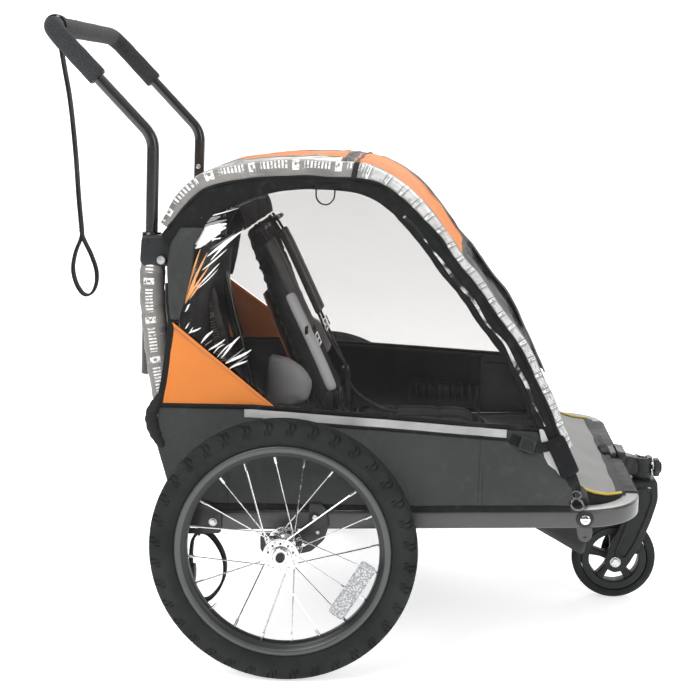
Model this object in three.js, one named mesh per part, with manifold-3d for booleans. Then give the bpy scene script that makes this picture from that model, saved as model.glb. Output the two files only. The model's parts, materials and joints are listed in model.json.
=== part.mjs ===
// Two-seat child bicycle trailer with a push handle and a front caster.
// Millimetres. +X points forward (towards the caster), +Y to the trailer's left, +Z up.
// While it is built, X = 0 is the axle line; the finished group is shifted along X so that
// the origin ends up on the ground under the middle of the footprint.
import * as THREE from 'three';
import { mergeVertices } from 'three/addons/utils/BufferGeometryUtils.js';
import Module from 'manifold-3d';

const wasm = await Module();
wasm.setup();

// ---------------------------------------------------------------- driving dimensions
// Places are [x, z] pairs. Side 'right' lies at -Y, 'left' at +Y.
const SIDES = [['right', -1], ['left', 1]];
const CLEAR = 0.35;              // gap around parts that fit into others

const AXLE = [0, 200];
const AXLE_R = 6;
const WHEEL_R = 200;             // over the tyre
const TRACK_HALF = 385;          // wheel centre plane from the middle
const TYRE_HALF = 22;
const RIM_R = 161;
const RIM_INNER_R = 143;

const RAIL_Y = 318;              // rail centre line
const RAIL_HALF = 14;            // half the square rail section
const RAIL_REAR_X = -147;
const NOSE_X = 525;
const railZ = (x) => 228.3 + 0.0251 * x;   // the rails climb slightly towards the front

const FRONT_PIVOT = [448, 240];            // roll cage hinge
const REAR_PIVOT = [-112, 226];            // rear upright hinge
const PIVOT_BOLT_R = 4.4;
const BRACKET_BOLT = [44, railZ(44) + 8];  // axle bracket to rail
const SMALL_BOLT_R = 3.4;                  // bracket bolt and frame lock pin

const HOOP_R = 11;
const leanY = (z) => 320 - (z - 240) * 0.2245;   // the hoops lean inwards as they rise

const HANDLE_HALF = 210;         // handle leg from the middle
const HANDLE_R = 9.6;
const HANDLE_BEND = [-214.8, 800];
const HANDLE_GRIP = [-370.5, 968.8];
// The handle legs lean forward slightly as they rise.
const handleX = (z) => HANDLE_BEND[0] - (HANDLE_BEND[1] - z) * 0.0445;

// ---------------------------------------------------------------- materials
const material = (name, settings) => new THREE.MeshStandardMaterial({ name, ...settings });
const MATERIALS = {
  frame: material('frame_grey', { color: 0x55585a, roughness: 0.38, metalness: 0.7 }),
  blackMetal: material('black_metal', { color: 0x161718, roughness: 0.35, metalness: 0.5 }),
  steel: material('bright_steel', { color: 0xc9ccce, roughness: 0.25, metalness: 0.95 }),
  rim: material('rim_grey', { color: 0x6e7173, roughness: 0.4, metalness: 0.7 }),
  rubber: material('tyre_rubber', { color: 0x26282a, roughness: 0.85 }),
  plastic: material('black_plastic', { color: 0x17181a, roughness: 0.55 }),
  foam: material('foam', { color: 0x1b1c1e, roughness: 0.95 }),
  webbing: material('webbing', { color: 0x141516, roughness: 0.9 }),
  darkFabric: material('dark_fabric', { color: 0x454847, roughness: 0.85 }),
  blackFabric: material('black_fabric', { color: 0x1e2021, roughness: 0.88 }),
  greyFabric: material('grey_fabric', { color: 0x9b9a98, roughness: 0.8 }),
  orangeFabric: material('orange_fabric', { color: 0xe8893c, roughness: 0.8 }),
  clear: material('clear_vinyl', {
    color: 0xe6e3e2, roughness: 0.15, transparent: true, opacity: 0.35,
  }),
  lens: material('reflector', {
    color: 0xdadcde, roughness: 0.2, transparent: true, opacity: 0.7,
  }),
};

// ---------------------------------------------------------------- paths and outlines
const vec = (x, y, z) => new THREE.Vector3(x, y, z);
const unit = (from, to) => to.clone().sub(from).normalize();

// Sweep path through given points, sampled exactly at them, with mitred tangents.
class PointPath extends THREE.Curve {
  constructor(points) {
    super();
    this.points = points;
  }

  indexAt(share) {
    return Math.round(share * (this.points.length - 1));
  }

  getPointAt(share) {
    return this.points[this.indexAt(share)].clone();
  }

  getTangentAt(share) {
    const { points } = this;
    const i = this.indexAt(share);
    const tangent = vec(0, 0, 0);
    if (i > 0) tangent.add(unit(points[i - 1], points[i]));
    if (i < points.length - 1) tangent.add(unit(points[i], points[i + 1]));
    return tangent.normalize();
  }
}

// Polyline with rounded corners, one radius for each inner point.
function fillet(points, radii, segments) {
  const rounded = [points[0]];
  radii.forEach((radius, k) => {
    const corner = points[k + 1];
    const back = unit(corner, points[k]);
    const ahead = unit(corner, points[k + 2]);
    const half = Math.acos(THREE.MathUtils.clamp(back.dot(ahead), -1, 1)) / 2;
    const trim = radius / Math.tan(half);
    const centre = back.clone().add(ahead).normalize()
      .multiplyScalar(radius / Math.sin(half)).add(corner);
    const start = corner.clone().addScaledVector(back, trim).sub(centre);
    const end = corner.clone().addScaledVector(ahead, trim).sub(centre);
    const angle = start.angleTo(end);
    for (let i = 0; i <= segments; i++) {
      const share = i / segments;
      const spoke = start.clone().multiplyScalar(Math.sin((1 - share) * angle))
        .addScaledVector(end, Math.sin(share * angle)).divideScalar(Math.sin(angle));
      rounded.push(centre.clone().add(spoke));
    }
  });
  rounded.push(points[points.length - 1]);
  return rounded;
}

const smooth = (points, steps) =>
  new THREE.CatmullRomCurve3(points, false, 'centripetal').getSpacedPoints(steps);

// Points around a centre; radiusAt gives the radius of point i.
const pointsAround = (count, radiusAt, [centreX, centreY] = [0, 0], phase = 0) =>
  Array.from({ length: count }, (_, i) => {
    const angle = phase + (i / count) * Math.PI * 2;
    return [centreX + radiusAt(i) * Math.cos(angle), centreY + radiusAt(i) * Math.sin(angle)];
  });

// Outline with every point moved towards a centre by the inset.
const shrink = (outline, [centreX, centreZ], inset) => outline.map(([x, z]) => {
  const distance = Math.hypot(x - centreX, z - centreZ);
  const scale = (distance - inset) / distance;
  return [centreX + (x - centreX) * scale, centreZ + (z - centreZ) * scale];
});

const shapeOf = (outline) => new THREE.Shape(outline.map(([x, y]) => new THREE.Vector2(x, y)));

function ngon(radius, sides, phase = 0) {
  const shape = shapeOf(pointsAround(sides, () => radius, [0, 0], phase));
  shape.closePath();
  return shape;
}

// ---------------------------------------------------------------- solids
// Weld a geometry and turn it into a closed solid with its faces pointing out.
function solid(source) {
  for (const key of Object.keys(source.attributes)) {
    if (key !== 'position') source.deleteAttribute(key);
  }
  const welded = mergeVertices(source, 1e-4);
  const positions = welded.attributes.position.array;
  const corners = welded.index.array;
  const pointAt = (i) => vec(positions[3 * i], positions[3 * i + 1], positions[3 * i + 2]);
  const faces = [];
  let volume = 0;
  for (let i = 0; i < corners.length; i += 3) {
    const [a, b, c] = [corners[i], corners[i + 1], corners[i + 2]];
    if (a === b || b === c || a === c) continue;
    faces.push([a, b, c]);
    volume += pointAt(a).dot(pointAt(b).cross(pointAt(c)));
  }
  const outward = volume < 0 ? faces.map(([a, b, c]) => [a, c, b]) : faces;
  return new wasm.Manifold(new wasm.Mesh({
    numProp: 3,
    vertProperties: new Float32Array(positions),
    triVerts: new Uint32Array(outward.flat()),
  }));
}

const join = (...parts) => parts.reduce((whole, part) => whole.add(part));
const cut = (body, ...tools) => tools.reduce((rest, tool) => rest.subtract(tool), body);

const extrude = (outline, depth) => new THREE.ExtrudeGeometry(
  shapeOf(outline), { depth, bevelEnabled: false, curveSegments: 1 });

const sweep = (points, shape) => solid(new THREE.ExtrudeGeometry(shape, {
  steps: points.length - 1,
  extrudePath: new PointPath(points),
  bevelEnabled: false,
  curveSegments: 1,
}));
const tube = (points, radius, sides) => sweep(points, ngon(radius, sides, Math.PI / sides));

// Box from its [low, high] spans.
function box([x0, x1], [y0, y1], [z0, z1]) {
  const block = new THREE.BoxGeometry(x1 - x0, y1 - y0, z1 - z0);
  block.translate((x0 + x1) / 2, (y0 + y1) / 2, (z0 + z1) / 2);
  return solid(block);
}

// Cylinder between two points.
function rod(from, to, radius, sides) {
  const cylinder = new THREE.CylinderGeometry(radius, radius, from.distanceTo(to), sides, 1);
  cylinder.applyQuaternion(
    new THREE.Quaternion().setFromUnitVectors(vec(0, 1, 0), unit(from, to)));
  cylinder.translate((from.x + to.x) / 2, (from.y + to.y) / 2, (from.z + to.z) / 2);
  return solid(cylinder);
}

// Cylinder along Y at a place; sign -1 mirrors its y span to the right side.
const rodY = ([x, z], [y0, y1], radius, sides, sign = 1) =>
  rod(vec(x, sign * y0, z), vec(x, sign * y1, z), radius, sides);

// Cylinders joined on one Y axis; rows are [y from, y to, radius, sides].
const stackY = (place, rows, sign = 1) =>
  join(...rows.map(([y0, y1, radius, sides]) => rodY(place, [y0, y1], radius, sides, sign)));

// Flat plate: an [x, z] outline extruded over a y span, with outlined holes through it.
function plateY(outline, [y0, y1], sign = 1, holes = []) {
  const low = Math.min(sign * y0, sign * y1);
  const high = Math.max(sign * y0, sign * y1);
  const slab = extrude(outline, high - low);
  slab.rotateX(Math.PI / 2);          // shape x, y become x, z; depth runs along -y
  slab.translate(0, high, 0);
  return cut(solid(slab), ...holes.map((hole) => plateY(hole, [low - 1, high + 1])));
}

// Revolved loop of [radius, y] points about an axis parallel to Y; the last joins the first.
function latheY([x, z], centreY, profile, segments) {
  const loop = [...profile, profile[0]].map(([radius, y]) => new THREE.Vector2(radius, y));
  const ring = new THREE.LatheGeometry(loop, segments);
  ring.translate(x, centreY, z);
  return solid(ring);
}

// Closed thin sheet from a grid of outer points and a matching grid of inner points.
function sheet(outer, inner) {
  const rows = outer.length;
  const columns = outer[0].length;
  const positions = [outer, inner].flat(2).flatMap(({ x, y, z }) => [x, y, z]);
  const index = [];
  const outerAt = (i, j) => i * columns + j;
  const innerAt = (i, j) => rows * columns + outerAt(i, j);
  const quad = (a, b, c, d) => index.push(a, b, c, a, c, d);
  const lastRow = rows - 1;
  const lastColumn = columns - 1;
  for (let i = 0; i < lastRow; i++) {
    for (let j = 0; j < lastColumn; j++) {
      quad(outerAt(i, j), outerAt(i + 1, j), outerAt(i + 1, j + 1), outerAt(i, j + 1));
      quad(innerAt(i, j), innerAt(i, j + 1), innerAt(i + 1, j + 1), innerAt(i + 1, j));
    }
  }
  for (let i = 0; i < lastRow; i++) {
    quad(outerAt(i, 0), innerAt(i, 0), innerAt(i + 1, 0), outerAt(i + 1, 0));
    quad(outerAt(i, lastColumn), outerAt(i + 1, lastColumn),
      innerAt(i + 1, lastColumn), innerAt(i, lastColumn));
  }
  for (let j = 0; j < lastColumn; j++) {
    quad(outerAt(0, j), outerAt(0, j + 1), innerAt(0, j + 1), innerAt(0, j));
    quad(outerAt(lastRow, j), innerAt(lastRow, j),
      innerAt(lastRow, j + 1), outerAt(lastRow, j + 1));
  }
  const grid = new THREE.BufferGeometry();
  grid.setAttribute('position', new THREE.Float32BufferAttribute(positions, 3));
  grid.setIndex(index);
  return solid(grid);
}

const root = new THREE.Group();

function add(name, body, finish) {
  const { vertProperties, triVerts } = body.getMesh();
  const geometry = new THREE.BufferGeometry();
  geometry.setAttribute(
    'position', new THREE.BufferAttribute(new Float32Array(vertProperties), 3));
  geometry.setIndex(new THREE.BufferAttribute(new Uint32Array(triVerts), 1));
  geometry.computeVertexNormals();
  const mesh = new THREE.Mesh(geometry, finish.clone());
  mesh.name = name;
  root.add(mesh);
}

// ---------------------------------------------------------------- base frame
// Square-tube loop: right rail, rounded nose, left rail; two cross tubes join the rails.
{
  const NOSE_BEND_R = 80;
  const CHAMFER = 4;
  const REAR_CROSS_X = -140;
  const MID_CROSS_X = 190;
  const TOW_PAD_X = 300;
  const BOLT_SPAN = [290, 345];
  const railPoint = (x, y) => vec(x, y, railZ(x));
  const path = fillet([
    railPoint(RAIL_REAR_X, -RAIL_Y), railPoint(NOSE_X, -RAIL_Y),
    railPoint(NOSE_X, RAIL_Y), railPoint(RAIL_REAR_X, RAIL_Y),
  ], [NOSE_BEND_R, NOSE_BEND_R], 8);
  const half = RAIL_HALF;
  const flat = half - CHAMFER;
  const section = shapeOf([
    [-flat, -half], [flat, -half], [half, -flat], [half, flat],
    [flat, half], [-flat, half], [-half, flat], [-half, -flat],
  ]);
  const crossTube = (x, z, radius) =>
    sweep([-1, 1].map((sign) => vec(x, sign * (RAIL_Y - 10), z)), ngon(radius, 10));
  // Flat pad on the outside of the left rail, where the tow arm's bracket bolts on.
  const towPad = box([TOW_PAD_X - 32, TOW_PAD_X + 32], [RAIL_Y + 12, RAIL_Y + 17],
    [railZ(TOW_PAD_X) - 8, railZ(TOW_PAD_X) + 8]);
  let frame = join(
    sweep(path, section),
    crossTube(REAR_CROSS_X, railZ(REAR_CROSS_X), 9.5),
    crossTube(MID_CROSS_X, railZ(MID_CROSS_X) - 2, 11),
    towPad);
  for (const [, sign] of SIDES) {
    frame = cut(frame,
      rodY(FRONT_PIVOT, BOLT_SPAN, PIVOT_BOLT_R + CLEAR, 10, sign),
      rodY(REAR_PIVOT, BOLT_SPAN, PIVOT_BOLT_R + CLEAR, 10, sign),
      rodY(BRACKET_BOLT, BOLT_SPAN, SMALL_BOLT_R + CLEAR, 8, sign));
  }
  add('base_frame', frame, MATERIALS.frame);
}

// Axle beam: round bar under the rails, between the two axle brackets, bored at its ends.
{
  const bores = SIDES.map(([, sign]) => rodY(AXLE, [330, 290], AXLE_R + 0.6, 12, sign));
  add('axle_beam', cut(rodY(AXLE, [-329, 329], 12.4, 14), ...bores), MATERIALS.blackMetal);
}

// ---------------------------------------------------------------- brackets, axles and bolts
// Plate outlines, [x, z].
const AXLE_BRACKET = [
  [36, 258], [54, 258], [62, 250], [64, 222], [58, 202], [38, 183], [18, 178],
  [-34, 178], [-40, 184], [-40, 206], [-34, 212], [22, 214], [34, 226], [34, 250],
];
const REAR_BRACKET = [[-156, 206], [-100, 208], [-98, 240], [-118, 256], [-156, 256]];

for (const [side, sign] of SIDES) {
  // Axle bracket: plate bolted to the outside of the rail, carrying the axle socket.
  const socket = cut(
    join(plateY(AXLE_BRACKET, [333, 339], sign), rodY(AXLE, [334, 347], 13, 12, sign)),
    rodY(AXLE, [325, 350], AXLE_R + 0.5, 12, sign));
  const bolt = stackY(BRACKET_BOLT, [[338, 344, 7.5, 12], [298, 340, SMALL_BOLT_R, 8]], sign);
  add(`axle_bracket_${side}`, join(socket, bolt), MATERIALS.blackMetal);

  // Axle pin from the beam, through the bracket and hub, and the button outside the hub.
  add(`axle_${side}`, rodY(AXLE, [296, 417.5], AXLE_R, 12, sign), MATERIALS.steel);
  add(`axle_button_${side}`, rodY(AXLE, [421.5, 427], 6.5, 12, sign), MATERIALS.plastic);

  // Hinge bolts of the roll cage and of the rear upright, head first.
  add(`front_pivot_bolt_${side}`,
    stackY(FRONT_PIVOT, [[332.5, 338, 9, 12], [287, 333, PIVOT_BOLT_R, 10]], sign),
    MATERIALS.steel);
  add(`rear_pivot_bolt_${side}`,
    stackY(REAR_PIVOT, [[337.5, 344, 8, 6], [276, 338, PIVOT_BOLT_R, 10]], sign),
    MATERIALS.steel);

  // Plate on the outer face of the rail's rear end.
  const rearBracket = cut(plateY(REAR_BRACKET, [332.5, 337], sign),
    rodY(REAR_PIVOT, [325, 345], PIVOT_BOLT_R + CLEAR, 10, sign));
  add(`rear_bracket_${side}`, rearBracket, MATERIALS.blackMetal);
}

// ---------------------------------------------------------------- wheels
// Lathe profiles, [radius, y from the wheel's centre plane].
const TYRE_PROFILE = [
  [161.7, -11], [168, -17], [177, -TYRE_HALF], [188, -TYRE_HALF + 2.5],
  [196, -TYRE_HALF + 9], [WHEEL_R, -4], [WHEEL_R, 4], [196, TYRE_HALF - 9],
  [188, TYRE_HALF - 2.5], [177, TYRE_HALF], [168, 17], [161.7, 11],
];
const RIM_PROFILE = [
  [RIM_R, -13], [RIM_R, 13], [155, 14], [RIM_INNER_R + 3, 9], [RIM_INNER_R, 3],
  [RIM_INNER_R, -3], [RIM_INNER_R + 3, -9], [155, -14],
];
const HUB_PROFILE = [
  [6.7, -35], [12, -35], [14, -31], [27, -30], [27, -26], [11, -22],
  [11, 22], [27, 26], [27, 30], [14, 31], [12, 35], [6.7, 35],
];

// Hub with its spokes, which stop just short of the rim.
function spokedHub(centreY) {
  const SPOKES = 20;
  const HUB_END_R = 22.5;
  const RIM_END_R = RIM_INNER_R - 0.9;
  const FIRST_ANGLE = 0.08;      // radians
  const LEAD = 0.62;             // radians the hub end is turned from the rim end
  const spokeEnd = (radius, angle, y) =>
    vec(radius * Math.cos(angle), centreY + y, AXLE[1] + radius * Math.sin(angle));
  let hub = latheY(AXLE, centreY, HUB_PROFILE, 14);
  for (let i = 0; i < SPOKES; i++) {
    const flange = i % 2 ? 1 : -1;
    const angle = (i / SPOKES) * Math.PI * 2 + FIRST_ANGLE;
    const lead = (Math.floor(i / 2) % 2 ? 1 : -1) * LEAD;
    hub = hub.add(rod(spokeEnd(HUB_END_R, angle + lead, flange * 28),
      spokeEnd(RIM_END_R, angle, flange * 2.2), 1.25, 4));
  }
  return hub;
}

for (const [side, sign] of SIDES) {
  const centreY = sign * TRACK_HALF;
  add(`tyre_${side}`, latheY(AXLE, centreY, TYRE_PROFILE, 32), MATERIALS.rubber);
  add(`rim_${side}`, latheY(AXLE, centreY, RIM_PROFILE, 32), MATERIALS.rim);
  add(`spoked_hub_${side}`, spokedHub(centreY), MATERIALS.steel);
}

// Spoke reflector: a tilted clear bar on the outer side of each wheel.
for (const [side, sign] of SIDES) {
  const bar = new THREE.BoxGeometry(26, 5, 94);
  bar.rotateY(THREE.MathUtils.degToRad(33));
  bar.translate(104, sign * (TRACK_HALF + 17.5), 146);
  add(`spoke_reflector_${side}`, solid(bar), MATERIALS.lens);
}

// ---------------------------------------------------------------- front caster
const SWIVEL_X = 579;
const KNOB_Z = 233;
const CASTER_R = 71.8;
const CASTER_AXLE = [535.3, CASTER_R];
// Fork blade outline, [x, z].
const FORK_BLADE = [
  [560, 213.5], [602, 213.5], [604, 184], [594, 148], [578, 104], [557, 66], [547, 56],
  [535, 52], [523, 57], [517, 68], [519, 84], [541, 136], [556, 182],
];
// Lathe profiles, [radius, y].
const CASTER_RIM = [[42, -14], [55.6, -15], [55.6, 15], [42, 14]];
const CASTER_HUB = [[4.9, -20], [12, -20], [12, 20], [4.9, 20]];
const CASTER_TYRE = [
  [56.6, -13], [58, -17], [66, -16], [70.5, -9], [CASTER_R, 0],
  [70.5, 9], [66, 16], [58, 17], [56.6, 13],
];

// Vertical rod on the swivel axis, and rod ahead of that axis at knob height.
const swivelRod = (z0, z1, radius, sides) =>
  rod(vec(SWIVEL_X, 0, z0), vec(SWIVEL_X, 0, z1), radius, sides);
const knobRod = (from, to, radius) =>
  rod(vec(SWIVEL_X + from, 0, KNOB_Z), vec(SWIVEL_X + to, 0, KNOB_Z), radius, 10);

// Arm clamped on the middle of the nose tube, ending in the swivel housing.
{
  const noseZ = railZ(NOSE_X);
  const gap = RAIL_HALF + CLEAR;
  const arm = join(
    box([NOSE_X - 21, NOSE_X + 21], [-26, 26], [noseZ - 21, noseZ + 17.5]),
    box([NOSE_X + 15, SWIVEL_X], [-14, 14], [221, 250]),
    swivelRod(217, 252, 17.5, 18));
  const noseSlot = box([NOSE_X - gap, NOSE_X + gap], [-60, 60], [noseZ - gap, noseZ + gap]);
  add('caster_arm', cut(arm, noseSlot, swivelRod(210, 246, 6.5, 12), knobRod(8, 30, 4.6)),
    MATERIALS.plastic);
}

// Lobed pull knob on the front of the housing; it locks the swivel straight.
{
  const knob = extrude(pointsAround(24, (i) => (i % 4 < 2 ? 15 : 12.6)), 11);
  knob.rotateY(Math.PI / 2);
  knob.translate(SWIVEL_X + 19.5, 0, KNOB_Z);
  add('swivel_lock_knob', join(solid(knob), knobRod(10, 20, 4)), MATERIALS.plastic);
}

// Trailing fork with its stem.
{
  const fork = join(plateY(FORK_BLADE, [-34, -27]), plateY(FORK_BLADE, [27, 34]),
    box([560, 603], [-33, 33], [190, 213.5]), swivelRod(212, 240, 6, 12));
  add('caster_fork', cut(fork, rodY(CASTER_AXLE, [-40, 40], 4.4 + CLEAR, 10)),
    MATERIALS.plastic);
}
add('caster_axle', stackY(CASTER_AXLE, [
  [-36, 36, 4.2, 10], [-38.5, -34.4, 8, 12], [34.4, 38.5, 8, 12],
]), MATERIALS.steel);

// Five-spoke wheel.
{
  const SPOKES = 5;
  let wheel = join(latheY(CASTER_AXLE, 0, CASTER_RIM, 25), latheY(CASTER_AXLE, 0, CASTER_HUB, 10));
  for (let i = 0; i < SPOKES; i++) {
    const angle = 0.35 + (i / SPOKES) * Math.PI * 2;
    const spokeEnd = (radius) => vec(CASTER_AXLE[0] + radius * Math.cos(angle), 0,
      CASTER_AXLE[1] + radius * Math.sin(angle));
    const spoke = rod(spokeEnd(8), spokeEnd(43), 6.5, 6);
    wheel = wheel.add(cut(spoke, rodY(CASTER_AXLE, [-30, 30], 4.9, 15)));
  }
  add('caster_wheel', wheel, MATERIALS.plastic);
}
add('caster_tyre', latheY(CASTER_AXLE, 0, CASTER_TYRE, 36), MATERIALS.rubber);

// ---------------------------------------------------------------- roll cage
// Side hoop from its front foot over the roof to the rear corner. Columns: centre line x, z,
// then height of the roof fabric above it at the lower edge, the shoulder and the middle.
const HOOP = [
  [428, 293, 12, 26, 14], [403, 341, 12, 26, 15], [383, 388, 13, 26, 15],
  [356, 444, 13, 26, 16], [333, 487, 13, 27, 17], [306, 520, 14, 27, 18],
  [267, 574, 14, 28, 18], [242, 601, 15, 29, 20], [214, 639, 16, 30, 22],
  [186.7, 669.7, 14, 33, 27], [160.1, 695.4, 14, 35, 33], [130.6, 715.9, 13, 34, 37],
  [100.5, 726.4, 8, 34.5, 38], [50, 732, 5, 34, 38], [11, 732, 6, 35, 39],
  [-31.8, 726.9, 10, 39, 43], [-68.2, 717.8, 16, 45, 48], [-94.9, 709.6, 20, 48, 51],
  [-122.2, 699.1, 23, 50, 50], [-144.4, 679.2, 23, 48, 46], [-162, 656, 24, 43, 40],
  [-174, 636, 28, 40, 38], [-181, 618, 28, 36, 34], [-184, 606, 22, 30, 30],
];
// Front hinge plate outline, [x, z].
const HINGE_PLATE = [
  [438, 286], [424, 281], [436, 240], [440, 208], [447, 200],
  [456, 201], [462, 209], [462, 240], [452, 276],
];
const hoopAt = (x, z, sign) => vec(x, sign * leanY(z), z);
const hoopPath = (sign) => smooth(HOOP.map(([x, z]) => hoopAt(x, z, sign)), 28);

for (const [side, sign] of SIDES) {
  const path = hoopPath(sign);
  add(`side_hoop_${side}`, tube(path, HOOP_R, 8), MATERIALS.blackMetal);
  // Flat hinge plate under the hoop's front foot, running down inboard of the rail.
  const foot = tube([hoopAt(431.5, 287, sign), vec(440, sign * 293.5, 268)], 7, 8);
  const hoopEnd = [path[0].clone().add(vec(1.5, 0, -3)), path[1], path[2]];
  add(`front_hinge_plate_${side}`, cut(
    join(plateY(HINGE_PLATE, [296, 291.5], sign), foot),
    rodY(FRONT_PIVOT, [285, 310], PIVOT_BOLT_R + CLEAR, 10, sign),
    tube(hoopEnd, HOOP_R + CLEAR, 10)), MATERIALS.frame);
}

// Arched spreader bar between the hoops.
function spreaderBar(x, z) {
  const STEPS = 14;
  const RISE = 18;
  const halfSpan = leanY(z) - HOOP_R - 2.6;
  const points = [];
  for (let i = 0; i <= STEPS; i++) {
    const across = -1 + (2 * i) / STEPS;
    points.push(vec(x, across * halfSpan, z + RISE * (1 - across * across)));
  }
  return tube(points, 8, 8);
}
add('spreader_bar_front', spreaderBar(88, 727), MATERIALS.blackMetal);
add('spreader_bar_rear', spreaderBar(-100, 706), MATERIALS.blackMetal);

// ---------------------------------------------------------------- handle mounts
const CLAMP_LOW = 602;
const CLAMP_HIGH = 654;
const CLAMP_OUTLINE = [
  [-240, CLAMP_LOW + 6], [-234, CLAMP_LOW], [-176, CLAMP_LOW], [-166, CLAMP_LOW + 20],
  [-170, CLAMP_LOW + 34], [-192, CLAMP_HIGH], [-236, CLAMP_HIGH],
];
const RECEIVER_R = 12.5;
const LOCK_PIN = [-200, 614];

const legPoint = (z, sign) => vec(handleX(z), sign * HANDLE_HALF, z);
const legTube = (z0, z1, radius, sign) =>
  tube([legPoint(z0, sign), legPoint(z1, sign)], radius, 14);

for (const [side, sign] of SIDES) {
  // Corner block that ties the hoop's rear end to the handle receiver.
  const hoopEnd = [...hoopPath(sign).slice(-8), hoopAt(-184.6, 590, sign)];
  add(`handle_clamp_${side}`, cut(
    plateY(CLAMP_OUTLINE, [196, 240], sign),
    legTube(560, 700, RECEIVER_R + CLEAR, sign),
    tube(hoopEnd, HOOP_R + 0.6, 8),
    rodY(LOCK_PIN, [232, 245], SMALL_BOLT_R + CLEAR, 8, sign)), MATERIALS.plastic);
  // Receiver tube for one leg of the handle, open at both ends.
  add(`handle_receiver_${side}`, cut(
    legTube(430, 652, RECEIVER_R, sign),
    legTube(410, 670, HANDLE_R + 0.55, sign)), MATERIALS.blackMetal);
  // Pin in the outer face of the corner block.
  add(`frame_lock_pin_${side}`,
    stackY(LOCK_PIN, [[234, 243, SMALL_BOLT_R, 8], [242, 249, 7, 10]], sign),
    MATERIALS.steel);
}

// ---------------------------------------------------------------- rear uprights
// Each follows the hoop's lean at the top, then drops straight down to its hinge eye.
const UPRIGHT_TOP = [[-185.5, 578], [-184, 540], [-177, 492], [-168, 440]];   // [x, z]
const UPRIGHT_FOOT_Y = 289;

for (const [side, sign] of SIDES) {
  const footY = sign * UPRIGHT_FOOT_Y;
  const path = smooth([
    ...UPRIGHT_TOP.map(([x, z]) => hoopAt(x, z, sign)),
    vec(-158, sign * (leanY(395) - 1), 395),
    vec(-142, footY, 320),
    vec(-124, footY, 262),
    vec(REAR_PIVOT[0] - 1, footY, REAR_PIVOT[1] + 6),
  ], 12);
  const eye = rodY(REAR_PIVOT, [280, 299], 14, 14, sign);
  add(`rear_upright_${side}`, cut(
    join(tube(path, 9.8, 8), eye),
    rodY(REAR_PIVOT, [270, 305], PIVOT_BOLT_R + CLEAR, 10, sign)), MATERIALS.blackMetal);
}

// ---------------------------------------------------------------- push handle
const LEG_END_Z = 500;
const BEND_R = 46;
const GRIP_CORNER_R = 30;
const gripPoint = (sign) => vec(HANDLE_GRIP[0], sign * HANDLE_HALF, HANDLE_GRIP[1]);
const bendPoint = (sign) => legPoint(HANDLE_BEND[1], sign);
const handlePath = fillet([
  legPoint(LEG_END_Z, -1), bendPoint(-1), gripPoint(-1),
  gripPoint(1), bendPoint(1), legPoint(LEG_END_Z, 1),
], [BEND_R, GRIP_CORNER_R, GRIP_CORNER_R, BEND_R], 6);
add('handle_bar', tube(handlePath, HANDLE_R, 8), MATERIALS.blackMetal);

// Foam grip: sleeve over the crossbar and both upper corners.
{
  const SLEEVE_R = 14.8;
  const LEG_COVER = 106;         // length down each leg from the corner
  const sleeveEnd = (sign) =>
    gripPoint(sign).addScaledVector(unit(gripPoint(sign), bendPoint(sign)), LEG_COVER);
  const path = fillet([sleeveEnd(-1), gripPoint(-1), gripPoint(1), sleeveEnd(1)],
    [GRIP_CORNER_R, GRIP_CORNER_R], 6);
  add('foam_grip', cut(tube(path, SLEEVE_R, 10), tube(handlePath, HANDLE_R + 0.5, 8)),
    MATERIALS.foam);
}

// Wrist strap: a ring on the crossbar, a flat run of webbing and a teardrop hand loop.
{
  // Outlines, [x, z].
  const RUN = [
    [-369.5, 952.6], [-364.5, 953.4], [-352, 860], [-346, 780], [-343, 700],
    [-340, 640], [-344, 640], [-347, 700], [-350, 780], [-356, 860],
  ];
  const LOOP = [
    [-345, 645], [-339, 645], [-326, 615], [-318, 585], [-321, 560],
    [-331, 546], [-341, 546], [-354, 560], [-361, 590], [-355, 620],
  ];
  const ringOutline = (radius) => pointsAround(16, () => radius, HANDLE_GRIP);
  const ring = plateY(ringOutline(17.6), [-179, -160], 1, [ringOutline(15.7)]);
  // The two points of the opening under the run are set by hand, to narrow it there.
  const opening = [[-342.6, 636], [-341, 636], ...shrink(LOOP, [-341, 592], 4.2).slice(2)];
  const loop = plateY(LOOP, [-178.5, -160.5], 1, [opening]);
  add('wrist_strap', join(ring, plateY(RUN, [-178, -161]), loop), MATERIALS.webbing);
}

// ---------------------------------------------------------------- canopy
// One sheet that follows the hoops, from the rear corner over the top to the front.
// Each cross-section stands up beside the hoop, turns over a shoulder and runs to the middle.
const CANOPY_WALL = 2.6;
const CANOPY_REAR_X = -203;      // rear limit of the sheet's inner face

// Lower edge, shoulder and middle heights at the hoop point nearest to x, z.
function roofHeights(x, z) {
  let nearest = { distance: 1e9 };
  for (let k = 0; k < HOOP.length - 1; k++) {
    const [startX, startZ] = HOOP[k];
    const runX = HOOP[k + 1][0] - startX;
    const runZ = HOOP[k + 1][1] - startZ;
    const share = THREE.MathUtils.clamp(
      ((x - startX) * runX + (z - startZ) * runZ) / (runX * runX + runZ * runZ), 0, 1);
    const distance = Math.hypot(x - startX - runX * share, z - startZ - runZ * share);
    if (distance < nearest.distance) nearest = { distance, k, share };
  }
  const { k, share } = nearest;
  return [2, 3, 4].map((i) => HOOP[k][i] + (HOOP[k + 1][i] - HOOP[k][i]) * share);
}

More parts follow.
